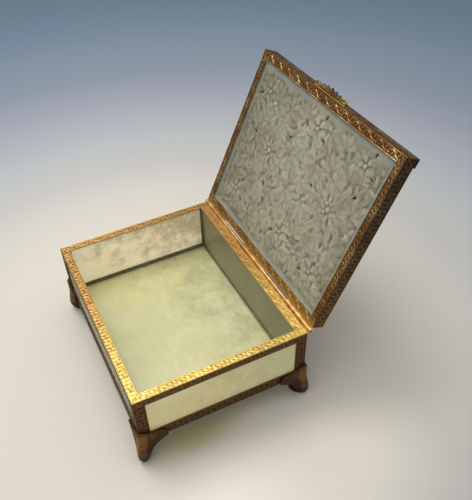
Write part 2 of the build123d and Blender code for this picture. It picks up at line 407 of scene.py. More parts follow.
def jade_finish(name, tone, pale, dark, cloudiness, scale, shift, mottle_and_shade_lean=(0.0, 0.0, 0.0, 0.0), painted_glow=0.0,
                shaded=None, gloss=0.5):
    """Polished translucent stone with soft clouds, sugary flecks and darker wisps.

    lean makes the darker wisps denser along each axis, in shares per metre, from its last value at the
    origin: partly the stone's own mottling and partly painted shade where the lid and walls shade a plate.
    glow adds painted light: an emission in the plate's own colour that stands in for the light coming through
    the plate from behind.
    shaded holds the half sizes in X and Y within which a flat plate stays clear of the painted shade along
    its edges.
    """
    finish, kit = new_finish(name)
    place = kit.vector_maths("ADD", kit.object_place(), shift)
    large = kit.noise(place, scale, 4.0, 0.5, 0.4)
    veins = kit.noise(kit.vector_maths("MULTIPLY", place, (1.0, 2.4, 1.8)), scale * 4.0, 6.0, 0.62, 0.6)
    wisps = kit.noise(kit.vector_maths("ADD", place, (0.3, 0.1, 0.2)), scale * 2.2, 10.0, 0.72, 0.15)
    flecks = kit.noise(kit.vector_maths("MULTIPLY", place, (1.0, 1.6, 1.2)), scale * 5.0, 4.0, 0.65)
    crowd = kit.noise(kit.vector_maths("ADD", place, (0.7, 0.4, 0.1)), scale * 1.1, 2.0, 0.5)
    x, y, z = kit.split(kit.object_place())
    drawn_out = kit.joined((x * 0.85 + y * 0.5 + z * 0.3) * 0.22, y * 0.85 - x * 0.5, z)
    streaks = kit.noise(drawn_out, scale * 13.0, 4.0, 0.6, 0.3)
    # The lean of the dark wisps: partly the stone's own mottling, partly painted shade where the lid and
    # walls shade the plate
    mottle_and_shade = x * mottle_and_shade_lean[0] + y * mottle_and_shade_lean[1] + z * mottle_and_shade_lean[2] + mottle_and_shade_lean[3]
    light = (large.step(0.35, 0.68) * 0.6 + (veins - 0.5) * 0.9 + (streaks - 0.5) * 0.7).held()
    shown = kit.mixed(light, rgba(tone), rgba(pale))
    dark_share = (wisps + mottle_and_shade).step(0.4, 0.72) * cloudiness
    shown = kit.mixed(dark_share, shown, rgba(dark))
    white = tuple(min(1.0, part * 1.18 + 0.04) for part in pale)
    shown = kit.mixed(flecks.step(0.56, 0.74) * crowd.step(0.48, 0.66) * 0.55, shown, rgba(white))
    if shaded:
        # Painted shade: the plate darkens along its edges, where it meets the walls
        beyond = (abs(x) - shaded[0]).at_least(abs(y) - shaded[1])
        shown = kit.mixed(beyond.step(0.0, 3 * MM) * 0.6, shown, PAINTED_EDGE_SHADE)
    # The emission below is painted light that makes the plate glow
    close_finish(kit, {"Base Color": shown, "Roughness": veins * 0.14 + 0.18, "IOR": JADE_IOR,
                       "Specular IOR Level": gloss,
                       "Subsurface Weight": 0.75, "Subsurface Radius": (1.0, 0.95, 0.6),
                       "Subsurface Scale": 4 * MM, "Emission Color": shown, "Emission Strength": painted_glow,
                       "Normal": kit.bump(0.12, 0.3 * MM, veins)})
    return finish


def carved_jade_finish(name, colours):
    """Carved stone: paler on the raised edges as painted highlight, olive in the cuts as painted shade,
    bluish on the plain border as a painted reflection of the sky.

    Its relief runs from 0 in the cuts to 1 on the edges, and is PAINTED_LIT on the walls of slots painted
    pale as light seen through them.
    """
    finish, kit = new_finish(name)
    place = kit.object_place()
    relief = kit.attribute("relief")
    sideways = kit.split(place)[0]
    clouds = kit.noise(place, 55.0, 4.0, 0.6, 0.5)
    stains = kit.noise(kit.vector_maths("ADD", place, (0.4, 0.2, 0.6)), 110.0, 5.0, 0.65)
    tooling = kit.noise(place, 900.0, 3.0, 0.6)
    x, y, z = kit.split(kit.vector_maths("SUBTRACT", place, open_lid([PALE_SPOT])[0]))
    rim = (x * x + y * y + z * z).root().step(0.015, 0.09)
    far_half = (0.0 - sideways).step(0.0, 0.06)
    # edges follows the relief: painted highlight on the raised edges and painted shade in the cuts, with
    # random clouds
    edges = (relief * 1.3 + (clouds - 0.5) * 1.1 - rim * 0.2 - far_half * 0.25 - 0.05).held()
    shown = kit.mixed(edges, rgba(colours.carved_deep), rgba(colours.carved_high))
    shown = kit.mixed(clouds.step(0.5, 0.75) * 0.4, shown, rgba(colours.carved_grey))
    shown = kit.mixed(stains.step(0.48, 0.68) * 0.6, shown, rgba(colours.carved_olive))
    # Painted reflection: the smooth border and the band along the front are painted bluish, as the sky
    # reflected in them
    band = kit.attribute("plain") * (1.0 - stains * 0.4)
    border = kit.mixed(clouds.step(0.4, 0.65), rgba(colours.carved_blue_reflection), rgba(colours.carved_grey))
    shown = kit.mixed(band, shown, border)
    # Painted light: the marked slot walls are painted pale, as light seen through the slots
    shown = kit.mixed(relief.step(PAINTED_LIT - 0.7, PAINTED_LIT - 0.3), shown, PAINTED_SLOT_LIGHT)
    close_finish(kit, {"Base Color": shown, "Roughness": 0.42 + tooling * 0.15, "IOR": JADE_IOR,
                       "Subsurface Weight": 0.6, "Subsurface Radius": (1.0, 1.0, 0.7),
                       "Subsurface Scale": 2 * MM, "Normal": kit.bump(0.25, 0.2 * MM, tooling)})
    return finish


# Meshes

def mesh_object(name, points, faces, attributes=None, smooth=True, outward=True):
    """A new object with its place in its mesh. attributes holds (kind, values) by name."""
    mesh = bpy.data.meshes.new(name)
    mesh.from_pydata(np.asarray(points).tolist(), [], faces)
    for key, (kind, values) in (attributes or {}).items():
        layer = mesh.attributes.new(key, kind, "POINT")
        field = "vector" if kind == "FLOAT_VECTOR" else "value"
        layer.data.foreach_set(field, np.asarray(values, np.float32).ravel())
    if outward:
        work = bmesh.new()
        work.from_mesh(mesh)
        bmesh.ops.recalc_face_normals(work, faces=work.faces)
        work.to_mesh(mesh)
        work.free()
    mesh.polygons.foreach_set("use_smooth", [smooth] * len(mesh.polygons))
    made = bpy.data.objects.new(name, mesh)
    bpy.context.scene.collection.objects.link(made)
    return made


def grid_faces(rows, columns, closed=False):
    """Quads of a grid of points. A closed grid joins its last column to its first."""
    faces = []
    for row in range(rows - 1):
        for column in range(columns if closed else columns - 1):
            following = (column + 1) % columns
            faces.append((row * columns + column, row * columns + following,
                          (row + 1) * columns + following, (row + 1) * columns + column))
    return faces


def backed(faces, count):
    """The faces, and their mirror images on a second sheet of points that follows the first count."""
    return faces + [tuple(index + count for index in face[::-1]) for face in faces]


def two_sheets(rows, columns):
    """Faces of two grids back to back, joined round their rim."""
    count = rows * columns
    rim = [*range(columns), *[row * columns + columns - 1 for row in range(1, rows)],
           *range(count - 2, count - columns - 1, -1), *[row * columns for row in range(rows - 2, 0, -1)]]
    return backed(grid_faces(rows, columns), count) + [
        (a, b, b + count, a + count) for a, b in zip(rim, rim[1:] + rim[:1])]


def geometry_tree(name, inputs):
    """A geometry tree with named inputs: the tree, its kit and the values of its inputs."""
    tree = bpy.data.node_groups.new(name, "GeometryNodeTree")
    tree.interface.new_socket("Geometry", in_out="INPUT", socket_type="NodeSocketGeometry")
    for label, (kind, default) in inputs.items():
        socket = tree.interface.new_socket(label, in_out="INPUT", socket_type=kind)
        if default is not None:
            socket.default_value = default
    tree.interface.new_socket("Geometry", in_out="OUTPUT", socket_type="NodeSocketGeometry")
    kit = Kit(tree)
    entry = kit.node("NodeGroupInput")
    return tree, kit, {socket.name: Value(kit, socket) for socket in entry.outputs if socket.name}


def close_tree(kit, geometry, finish):
    """Ends a tree in real geometry with its finish."""
    real = kit.value("GeometryNodeRealizeInstances", None, {"Geometry": geometry})
    dressed = kit.value("GeometryNodeSetMaterial", None, {"Geometry": real, "Material": finish})
    kit.node("NodeGroupOutput", None, {"Geometry": dressed})


def worked(made, tree, values):
    """Gives the object the mesh that the tree makes of its own, and no modifier."""
    modifier = made.modifiers.new(tree.name, "NODES")
    modifier.node_group = tree
    for item in tree.interface.items_tree:
        if item.item_type == "SOCKET" and item.in_out == "INPUT" and item.name in values:
            modifier[item.identifier] = values[item.name]
    made.update_tag()
    bpy.context.view_layer.update()
    graph = bpy.context.evaluated_depsgraph_get()
    mesh = bpy.data.meshes.new_from_object(made.evaluated_get(graph), preserve_all_data_layers=True,
                                           depsgraph=graph)
    made.modifiers.remove(modifier)
    rough = made.data
    made.data = mesh
    bpy.data.meshes.remove(rough)
    mesh.name = made.name


def set_in_place(made, node):
    """The piece stands for its node and rides as that does."""
    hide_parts(node)
    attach(made, frame["nodes"][node]["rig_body"])


def dress(node, finish):
    """A node that keeps its own mesh gets a finish."""
    held = frame["nodes"][node]
    if not held.material_slots:
        held.data.materials.append(finish)
    for slot in held.material_slots:
        slot.material = finish


# Chased strips

# Names of the corners with their signs in X and Y, and seeds for where each strip's scroll starts
CORNERS = (("front_left", -1, -1), ("front_right", 1, -1), ("back_left", -1, 1), ("back_right", 1, 1))
BODY_SEED, LID_SEED = 4, 7


def strip_section(corners, edges, cell):
    """Points round a strip's section from its corners, each (inset, height, radius).

    edges holds (chased, gilt) for the run from each corner to the next, and cell is the longest step of a
    chased run. Each row has a place, its outward direction, its position across a chased run, whether it is
    chased, and its gilt.
    """
    count = len(corners)
    where = [np.array(corner[:2]) for corner in corners]
    after_each = where[1:] + where[:1]
    runs = [(ahead - here) / np.linalg.norm(ahead - here) for here, ahead in zip(where, after_each)]
    area = sum(here[0] * ahead[1] - ahead[0] * here[1] for here, ahead in zip(where, after_each))
    turn = 1.0 if area > 0 else -1.0
    rows = []
    for index in range(count):
        radius = corners[index][2]
        before, after = runs[index - 1], runs[index]
        chased, gilt = edges[index]
        next_radius = corners[(index + 1) % count][2]
        if radius:
            start = where[index] - before * radius
            centre = start + after * radius
            last_out = turn * np.array([before[1], -before[0]])
            side = 1.0 if np.dot(start - centre, last_out) > 0 else -1.0
            last_gilt = edges[index - 1][1]
            for share in (0.3, 0.6):
                angle = share * math.pi / 2
                spot = centre - after * radius * math.cos(angle) + before * radius * math.sin(angle)
                facing = side * (spot - centre)
                rows.append((*spot, *(facing / np.linalg.norm(facing)), 1.0, 0.0,
                             last_gilt + (gilt - last_gilt) * share))
        out = turn * np.array([after[1], -after[0]])
        first = where[index] + after * radius
        final = after_each[index] - after * next_radius
        steps = max(2, math.ceil(np.linalg.norm(final - first) / cell)) if chased else 1
        for step in range(steps + 1):
            if step == steps and not next_radius:
                break
            across = 2.0 * step / steps - 1.0
            mask = float(chased and 0 < step < steps)
            rows.append((*(first + (final - first) * step / steps), *out, across, mask, gilt))
    return np.array(rows)


def chased_strip(name, rows, span, place, phase, width, cell):
    """A strip swept along its side from the rows of its section.

    span(inset) gives its ends, place(x, inset, height) puts it on its side, and phase shifts the scroll along
    a band of that width.
    """
    low, high = span(rows[:, 0])
    steps = max(2, math.ceil((high - low).max() / cell))
    shares = np.linspace(0, 1, steps + 1)[:, None]
    along = low[None] + (high - low)[None] * shares
    inset = np.broadcast_to(rows[:, 0], along.shape)
    height = np.broadcast_to(rows[:, 1], along.shape)
    points = place(along.ravel(), inset.ravel(), height.ravel())
    origin, inward, upward = place(np.zeros(3), np.array([0.0, 1.0, 0.0]), np.array([0.0, 0.0, 1.0]))
    toward = np.column_stack([inward - origin, upward - origin])
    out = np.broadcast_to(rows[:, 2:4] @ toward.T, (*along.shape, 3)).reshape(-1, 3)
    end = np.minimum(along - low, high - along) > cell * 0.5
    chase = np.stack([along / (width / 2) + phase, np.broadcast_to(rows[:, 4], along.shape),
                      np.broadcast_to(rows[:, 5], along.shape) * end], -1).reshape(-1, 3)
    gilt = np.broadcast_to(rows[:, 6], along.shape).ravel()
    around = len(rows)
    faces = grid_faces(steps + 1, around, closed=True)
    faces += [tuple(range(around)), tuple(range(steps * around, (steps + 1) * around))]
    return mesh_object(name, points, faces, {
        "chase": ("FLOAT_VECTOR", chase), "out": ("FLOAT_VECTOR", out), "gilt": ("FLOAT", gilt)})


def chasing_tree():
    """Sinks the ground of the leaf scroll into a strip's chased bands."""
    tree, kit, given = geometry_tree("Chased strip", {
        "Depth": ("NodeSocketFloat", 0.3 * MM), "Pitch": ("NodeSocketFloat", 4.0),
        "Hand": ("NodeSocketFloat", 0.1 * MM), "Finish": ("NodeSocketMaterial", None)})
    u, v, chased = kit.split(kit.stored("chase", "FLOAT_VECTOR"))
    place = kit.value("GeometryNodeInputPosition")
    relief = chased_scroll(u, v, given["Pitch"])
    uneven = kit.noise(place, 120.0, 2.0, 0.5)
    sunk = ((relief - 1.0) * given["Depth"] - uneven * given["Hand"]) * chased
    offset = kit.scaled(kit.stored("out", "FLOAT_VECTOR"), sunk)
    close_tree(kit, kit.moved(given["Geometry"], Offset=offset), given["Finish"])
    return tree


def on_side(turn, out, middle=(0.0, 0.0), lid=False):
    """Puts (x along, inset, height) of a frame's side in its place."""
    cos, sin = math.cos(turn), math.sin(turn)

    def place(x, inset, height):
        y = inset - out
        points = np.column_stack([x * cos - y * sin + middle[0], x * sin + y * cos + middle[1], height])
        return open_lid(points) if lid else points
    return place


def up_corner(x_out, y_out, x_sign, y_sign):
    """Puts (z along, inset in X, inset in Y) of a corner post in its place."""
    def place(along, x_inset, y_inset):
        return np.column_stack([x_out - x_sign * x_inset, y_out - y_sign * y_inset, along])
    return place


def mitred(length):
    """Ends of a mitred strip at each inset."""
    def span(inset):
        return inset - length / 2, length / 2 - inset
    return span


def square_ended(low, high):
    """Ends of a strip that is cut square."""
    def span(inset):
        return np.full_like(inset, low), np.full_like(inset, high)
    return span


def angle_corners(root, face, width, strip, edge):
    """Corners of an angle strip: one leg from root to face, and the other inwards from there."""
    under = face - math.copysign(strip, face - root)
    return [(0, root, edge), (0, face, edge), (width, face, edge), (width, under, 0), (strip, under, 0),
            (strip, root, 0)]


def frame_sides(low, high):
    """Name, turn, length and distance out of each side of a rectangle between two corners."""
    width, depth = high[0] - low[0], high[1] - low[1]
    for index, name in enumerate(("front", "right", "back", "left")):
        turn = index * math.pi / 2
        if index % 2:
            yield name, turn, depth, width / 2
        else:
            yield name, turn, width, depth / 2


# Castings

# Columns and rows of a foot's plate, pitch of its arched bands in mm, and how close its flutes fan
FOOT_GRID = (71, 81)
BAND_PITCH = 2.2
FLUTES = 10

# Leaves of the crest and their thickness, and points along each of its curls
CREST_LEAVES = 9
CREST_THICK = 2.6 * MM
CURL_POINTS = 40


def smooth_line(points, count=24):
    """Points along a smooth line through the given ones."""
    points = np.asarray(points, float)
    ends = np.vstack([2 * points[0] - points[1], points, 2 * points[-1] - points[-2]])
    share = np.linspace(0, 1, count, endpoint=False)[:, None]
    pieces = []
    for a, b, c, d in zip(ends, ends[1:], ends[2:], ends[3:]):
        pieces.append(0.5 * (2 * b + (c - a) * share + (2 * a - 5 * b + 4 * c - d) * share ** 2
                             + (3 * b - a - 3 * c + d) * share ** 3))
    return np.vstack([*pieces, points[-1:]])


def bell(distance, width):
    """A soft bump: 1 at no distance, and little beyond its width."""
    return np.exp(-(distance / width) ** 2)


def cast_foot(name, corner, x_sign, y_sign, rail, wing, flare, peak, sizes):
    """Corner foot: two leaf wings that run into one ribbed, flared toe."""
    proud, toe = sizes.foot_proud, sizes.toe_reach
    skin = smooth_line([(0, 0), (0.8 * flare, 0.1 * rail), (flare, 0.32 * rail), (0.8 * flare, 0.6 * rail),
                        (proud, rail)])
    shoulder = np.array([(proud, rail + 0.85 * peak), (0.6 * proud, rail + peak)])
    skin = np.vstack([skin, shoulder])
    under = smooth_line([(0.7 * toe, 0), (1.1 * toe, 0.14 * rail), (1.5 * toe, 0.34 * rail),
                         (1.9 * toe, 0.58 * rail), (0.6 * wing, 0.8 * rail), (wing, rail)])
    under = np.vstack([[(0, 0)], under])
    upper = smooth_line([(0.1 * wing, peak), (0.45 * wing, 0.74 * peak), (0.85 * wing, 0.59 * peak),
                         (wing, 0.26 * peak)])
    upper = np.vstack([[(0, peak)], upper])
    inside = smooth_line([(-0.65 * toe, 0), (-toe, 0.34 * rail), (-0.42 * toe, rail)])

    # Columns follow the lower edge, and rows climb from it to the upper edge
    length = np.concatenate([[0], np.cumsum(np.linalg.norm(np.diff(under, axis=0), axis=1))])
    columns, rows = FOOT_GRID
    spots = np.linspace(0, length[-1], columns)
    reach = np.interp(spots, length, under[:, 0])
    low = np.interp(spots, length, under[:, 1])
    high = rail + np.interp(reach, upper[:, 0], upper[:, 1])
    share = np.linspace(0, 1, rows)[:, None] ** 1.2
    z = low + (high - low) * share
    away = np.broadcast_to(reach, z.shape)
    proud = np.minimum(np.interp(z, skin[:, 1], skin[:, 0]), 0.99 * flare)
    hollow = np.where(z > rail, 0.0, np.interp(z, inside[:, 1], inside[:, 0]))

    # The plate rounds over towards its lower edge, most of all round the toe
    fine = np.linspace(0, length[-1], 240)
    line = np.column_stack([np.interp(fine, length, under[:, axis]) for axis in (0, 1)])
    edge = np.hypot(away[..., None] - line[:, 0], z[..., None] - line[:, 1]).min(-1)
    toe_share = np.clip((0.8 * rail - z) / (0.35 * rail), 0, 1)
    bow = (0.8 + 0.9 * toe_share) * MM
    proud = proud - bow * (1 - np.sqrt(1 - (1 - np.minimum(edge / bow, 1)) ** 2))

    # Relief: a column of arched bands on each side of the corner, flutes along each wing, a plain upper edge
    across, up = away / MM, z / MM
    ring = np.hypot(1.2 * across, up - 0.36 * rail / MM) / BAND_PITCH
    grooves = bell(np.abs(ring - np.round(ring)) * BAND_PITCH, 0.38)
    grooves = grooves * np.clip((z - 0.44 * rail) / (0.3 * rail), 0, 1)
    angle = np.arctan2(z - 0.3 * rail, away + 1.5 * MM)
    flutes = 0.5 + 0.5 * np.cos(angle * FLUTES + across * 0.12)
    column = np.clip((0.34 * wing - away) / (2.2 * MM), 0, 1)
    relief = column * (1 - 0.5 * grooves) + (1 - column) * (0.25 + 0.4 * flutes)
    relief *= 1 - 0.5 * bell(across - 0.36 * wing / MM, 0.6)
    worn = np.clip((0.26 * rail - z) / (0.12 * rail), 0, 1)
    relief = relief * (1 - worn) + 0.45 * worn
    top = (high - z) / MM
    relief = np.where(top < 0.8, 0.62, relief * np.clip(0.45 + (top - 0.8) / 1.6, 0, 1))
    proud = proud - (1 - relief) * sizes.rib_depth * np.clip(np.minimum(edge / MM, top) / 0.5, 0, 1)

    # Both wings, joined round the corner
    def plan(offset, away, near):
        """Place of a wing's points: out from its face, and back from the corner."""
        curve = np.minimum(away / near, 1.0)
        turn = -(1 - curve) * math.pi / 4
        rest = np.maximum(away - near, 0) * (wing + offset - near) / (wing - near)
        out = offset - near + near * np.cos(turn)
        back = near - offset + near * np.sin(turn) + rest
        return out, back
    near = (1.5 + 1.6 * bell(z - 0.2 * rail, 0.4 * rail)) * MM
    points, shades = [], []
    for offset, shade in ((proud, relief), (hollow, np.full_like(relief, 0.1))):
        out, back = plan(offset, away, near)
        first = np.stack([out, back, z], -1)
        second = np.stack([-back, -out, z], -1)[:, :0:-1]
        whole = np.concatenate([second, first], 1)
        points.append(whole.reshape(-1, 3))
        shades.append(np.concatenate([shade[:, :0:-1], shade], 1).ravel())
    points = np.vstack(points)
    placed = np.column_stack([corner[0] + x_sign * points[:, 0], corner[1] - y_sign * points[:, 1],
                              points[:, 2]])
    return mesh_object(name, placed, two_sheets(rows, 2 * columns - 1),
                       {"relief": ("FLOAT", np.concatenate(shades))})


def leaf_blade(length, width, thick, bend, rows=15, columns=11):
    """A pointed leaf along +X with a sunk midrib on both faces: points, faces and relief."""
    along = (0.5 - 0.5 * np.cos(np.linspace(0, math.pi, rows)))[:, None]
    across = np.linspace(-1, 1, columns)[None]
    half = width / 2 * np.sin(math.pi * along ** 0.75) ** 0.8 * (1 + 0.1 * np.cos(along * 26))
    crown = (1 - np.abs(across) ** 2.5) * (0.35 + 0.65 * np.sin(math.pi * np.clip(along, 0.02, 0.98)) ** 0.5)
    groove = 1 - 0.45 * bell(across, 0.16) - 0.15 * (0.5 + 0.5 * np.cos(along * 26 + np.abs(across) * 5))
    height = thick / 2 * crown * groove
    x = np.broadcast_to(along * length, height.shape)
    y = half * across + bend * width * along ** 2
    upper = np.stack([x, y, height], -1).reshape(-1, 3)
    lower = np.stack([x, y, -height], -1).reshape(-1, 3)
    faces = backed(grid_faces(rows, columns), rows * columns)
    shade = np.clip(height / (thick / 2) * 1.15, 0, 1).ravel()
    return np.vstack([upper, lower]), faces, np.concatenate([shade, shade])


def turned(points, angle):
    """Points turned about Z."""
    cos, sin = math.cos(angle), math.sin(angle)
    x, y, z = points.T
    return np.column_stack([x * cos - y * sin, x * sin + y * cos, z])


def leaf_crest(name, low, high, face):
    """Crest of leaves that fan out of a ribbed back plate."""
    parts = []
    half = (high[0] - low[0]) / 2
    reach = face - low[1]
    root = face - 0.6 * MM
    level = low[2] + CREST_THICK / 2
    for index in range(CREST_LEAVES):
        share = (index - (CREST_LEAVES - 1) / 2) / ((CREST_LEAVES - 1) / 2)
        long = (reach - 0.7 * MM) * (1 - 0.42 * share ** 2) + 0.6 * MM
        thick = CREST_THICK * (0.98 - 0.2 * (index % 2))
        points, faces, shade = leaf_blade(long, 5.2 * MM, thick, 0.16 * np.sign(share))
        points = turned(points, -math.pi / 2 + share * 0.7)
        points += (share * (half - 3.6 * MM), root + 0.5 * MM, level)
        parts.append((points, faces, shade, True))
    for side in (-1, 1):
        turns = np.linspace(0, 1.6 * 2 * math.pi, CURL_POINTS)
        radius = 2.3 * MM * (1 - turns / turns[-1] * 0.8)
        line = np.column_stack([side * (half - 2.6 * MM) + side * radius * np.cos(turns),
                                root - 0.9 * MM - radius * np.sin(turns) * 0.9,
                                np.full(CURL_POINTS, level)])
        parts.append(tube(line, 0.62 * MM, 8))

    # Back plate with ribs that fan from the root of the crest
    columns, rows = 91, 25
    across = np.linspace(-1, 1, columns)[None]
    up = np.linspace(0, 1, rows)[:, None]
    arch = (high[2] - low[2]) * (0.5 + 0.5 * np.sqrt(1 - 0.98 * across ** 2))
    arch = arch * (1 - 0.05 * np.abs(np.sin(across * math.pi * 4.5)))
    x = np.broadcast_to(across * half, (rows, columns))
    z = low[2] + arch * up
    fan = 0.5 + 0.5 * np.cos(np.arctan2(z - low[2] + 2 * MM, x) * 26)
    rim = np.minimum(np.minimum(arch * (1 - up), (1 - np.abs(across)) * half), arch * up + 0.4 * MM) / MM
    relief = np.where(rim < 0.8, 1.0, 0.2 + 0.7 * fan)
    rise = np.clip(rim / 0.3, 0, 1)
    out = 1.0 * MM * rise ** 0.5 - (1 - relief) * 0.45 * MM * rise
    front = np.stack([x, face - out, z], -1).reshape(-1, 3)
    back = np.stack([x, np.full_like(x, face), z], -1).reshape(-1, 3)
    parts.append((np.vstack([front, back]), two_sheets(rows, columns), np.tile(relief.ravel(), 2), True))
    return joined_parts(name, parts)


def tube(line, radius, sides):
    """A closed round bar along a line of points, as joined_parts takes it."""
    along = np.gradient(line, axis=0)
    along /= np.linalg.norm(along, axis=1)[:, None]
    first = np.cross(along, (0.0, 0.0, 1.0))
    first /= np.linalg.norm(first, axis=1)[:, None]
    second = np.cross(along, first)
    angle = np.linspace(0, 2 * math.pi, sides, endpoint=False)
    ring = first[:, None] * np.cos(angle)[None, :, None] + second[:, None] * np.sin(angle)[None, :, None]
    points = (line[:, None] + ring * radius).reshape(-1, 3)
    faces = grid_faces(len(line), sides, closed=True)
    faces += [tuple(range(sides)), tuple(range(len(points) - sides, len(points)))]
    return points, faces, np.full(len(points), 0.8), True


def joined_parts(name, parts):
    """One lid piece from several (points, faces, relief, smooth), drawn with the lid closed."""
    points, faces, shades, smooth = [], [], [], []
    start = 0
    for spots, quads, shade, soft in parts:
        points.append(spots)
        faces += [tuple(index + start for index in quad) for quad in quads]
        shades.append(shade)
        smooth += [soft] * len(quads)
        start += len(spots)
    made = mesh_object(name, open_lid(np.vstack(points)), faces,
                       {"relief": ("FLOAT", np.concatenate(shades))})
    made.data.polygons.foreach_set("use_smooth", smooth)
    return made


# Carved plaque

BLOOM, BUD, FAN, ROSETTE, LEAF = range(5)

# Places of the blooms and buds as shares of the plaque's sides, and the parts of a turn round each, of
# which every third has a slot
BLOOM_PLACES = {BLOOM: ((0.27, -0.04), (-0.21, -0.05)),
                BUD: ((0.07, 0.27), (-0.33, 0.29), (0.33, 0.3), (0.02, -0.33), (-0.36, -0.32), (0.34, -0.34))}
SLOT_PARTS = {BLOOM: 18, BUD: 8}

# Forms packed between them: kind, least and most radius in mm, tries, and how near two may come
FILLERS = ((FAN, 8.0, 11.0, 3000, 0.7), (FAN, 5.4, 7.5, 3000, 0.68), (ROSETTE, 3.4, 4.6, 300, 0.85),
           (LEAF, 3.4, 6.0, 9000, 0.5))
SET_BACK = {FAN: 0.5, ROSETTE: 0.0, LEAF: 1.0}
LENGTHENED = {FAN: 1.45, ROSETTE: 1.0, LEAF: 2.0}
CARVING_SEED = 11

# Rings of petals: count, start and end as shares of the radius, height, width and bend
BLOOM_RINGS = ((12, 0.3, 1.0, 0.72, 2.3, 0.16), (12, 0.2, 0.72, 0.84, 1.8, -0.12),
               (10, 0.1, 0.46, 0.94, 1.4, 0.08), (7, 0.05, 0.25, 1.0, 1.1, 0.02))
BUD_RINGS = ((6, 0.16, 1.0, 0.74, 2.3, 0.3), (5, 0.06, 0.66, 0.9, 1.6, -0.2))
PETAL_SUNK = 0.04 * MM
SLOT_EDGE_SUNK = 0.12 * MM

# Half length and half width of a pierced slot
SLOT_LONG, SLOT_WIDE = 1.6 * MM, 0.8 * MM


def bloom_layout(reach):
    """Kind and place of each bloom and bud, from the plaque's middle."""
    spread = 2 * reach + 1.6 * MM
    return [(kind, x * spread[0], y * spread[1]) for kind, places in BLOOM_PLACES.items() for x, y in places]


def reach_of(kind, sizes):
    """Radius of a bloom or a bud."""
    return sizes.bloom_radius if kind == BLOOM else sizes.bud_radius


def pierced_slots(blooms, sizes):
    """Place and turn of each pierced slot round the blooms and buds."""
    slots = []
    for kind, x, y in blooms:
        count, radius = SLOT_PARTS[kind], reach_of(kind, sizes)
        for index in range(0, count, 3):
            angle = (index + 0.5) * 2 * math.pi / count
            slots.append((x + radius * math.cos(angle), y + radius * math.sin(angle), angle))
    return np.array(slots)


def slot_ring(slot, sides, grown=0.0):
    """Outline of a slot in plan, grown by a distance."""
    x, y, angle = slot
    turn = np.linspace(0, 2 * math.pi, sides, endpoint=False)
    along, aside = (SLOT_LONG + grown) * np.cos(turn), (SLOT_WIDE + grown) * np.sin(turn)
    return np.column_stack([x + along * math.cos(angle) - aside * math.sin(angle),
                            y + along * math.sin(angle) + aside * math.cos(angle)])


def carving_points(blooms, slots, window, sizes):
    """Points that carry the blooms and buds, with smaller forms packed into the ground between them."""
    draw = random.Random(CARVING_SEED)
    field = np.array(window) - sizes.plaque_border
    spots = [(x, y, 0.0) for _, x, y in blooms]
    kinds = [kind for kind, _, _ in blooms]
    turns, lengths = [0.0] * len(blooms), [1.0] * len(blooms)
    discs = [(x, y, reach_of(kind, sizes)) for kind, x, y in blooms]
    for kind, least, most, tries, crowding in FILLERS:
        for _ in range(tries):
            radius = draw.uniform(least, most) * MM
            x, y = (draw.uniform(-1, 1) * (side - 0.4 * radius) for side in field)
            taken = np.array(discs)
            if (np.hypot(taken[:, 0] - x, taken[:, 1] - y) < crowding * (radius + taken[:, 2])).any():
                continue
            if (np.hypot(slots[:, 0] - x, slots[:, 1] - y) < 0.6 * radius).any():
                continue
            heads = taken[:len(blooms)]
            nearest = int(np.argmin(np.hypot(heads[:, 0] - x, heads[:, 1] - y) - heads[:, 2]))
            swirl = 0.9 if nearest % 2 else -0.9
            turn = math.atan2(y - taken[nearest, 1], x - taken[nearest, 0]) + swirl + draw.uniform(-0.6, 0.6)
            back = SET_BACK[kind] * radius
            discs.append((x, y, radius))
            spots.append((x - back * math.cos(turn), y - back * math.sin(turn), 0.0))
            kinds.append(kind)
            turns.append(turn)
            lengths.append(radius * LENGTHENED[kind])
    return np.array(spots), [], {"kind": ("FLOAT", kinds), "turn": ("FLOAT", turns),
                                 "length": ("FLOAT", lengths)}


def blade_nodes(kit, length, width, height, root, point, bend, size=(9, 7)):
    """A carved petal or leaf along +X from a grid, with its relief kept as an attribute.

    A higher point puts its widest place further out.
    """
    grid = kit.value("GeometryNodeMeshGrid", None, {
        "Size X": 1.0, "Size Y": 1.0, "Vertices X": size[0], "Vertices Y": size[1]})
    x, y, _ = kit.split(kit.value("GeometryNodeInputPosition"))
    along = 0.5 - ((x + 0.5) * math.pi).cos() * 0.5
    across = y * 2.0
    swell = (((along ** point) * 2.0 - 1.0) ** 2.0 * -1.0 + 1.0).at_least(0.0).root()
    crown = 1.0 - abs(across) ** 2.6
    groove = 1.0 - (1.0 - abs(across).step(0.02, 0.5)) * 0.4
    ends = along.step(0.0, 0.18) * (1.0 - along.step(0.7, 1.0) * 0.5) * (0.75 + along * 0.25)
    relief = crown * groove * ends
    aside = across * swell * width * 0.5 + along * along * bend
    place = kit.joined(root + along * length, aside, relief * height - PETAL_SUNK)
    return kit.with_relief(kit.moved(grid, Position=place), relief)


def bead_nodes(kit, radius, flatness):
    """A bead with its relief."""
    bead = kit.value("GeometryNodeMeshIcoSphere", None, {"Radius": radius, "Subdivisions": 2})
    bead = kit.value("GeometryNodeTransform", None, {"Geometry": bead, "Scale": (1.0, 1.0, flatness)})
    return kit.with_relief(bead, 0.8)


def fan_nodes(kit, height):
    """Seven bent petals that open out of one root, for a length of one."""
    petals = []
    for index in range(7):
        share = (index - 3) / 3
        tall = height * (1.0 - 0.22 * (index % 2))
        petal = blade_nodes(kit, 1.0 - 0.2 * share ** 2, 0.36, tall, 0.02, 1.7, 0.16 * share, (11, 7))
        petals.append(kit.value("GeometryNodeTransform", None, {
            "Geometry": petal, "Rotation": (0.0, 0.0, share * 1.15)}))
    return kit.gathered(petals)


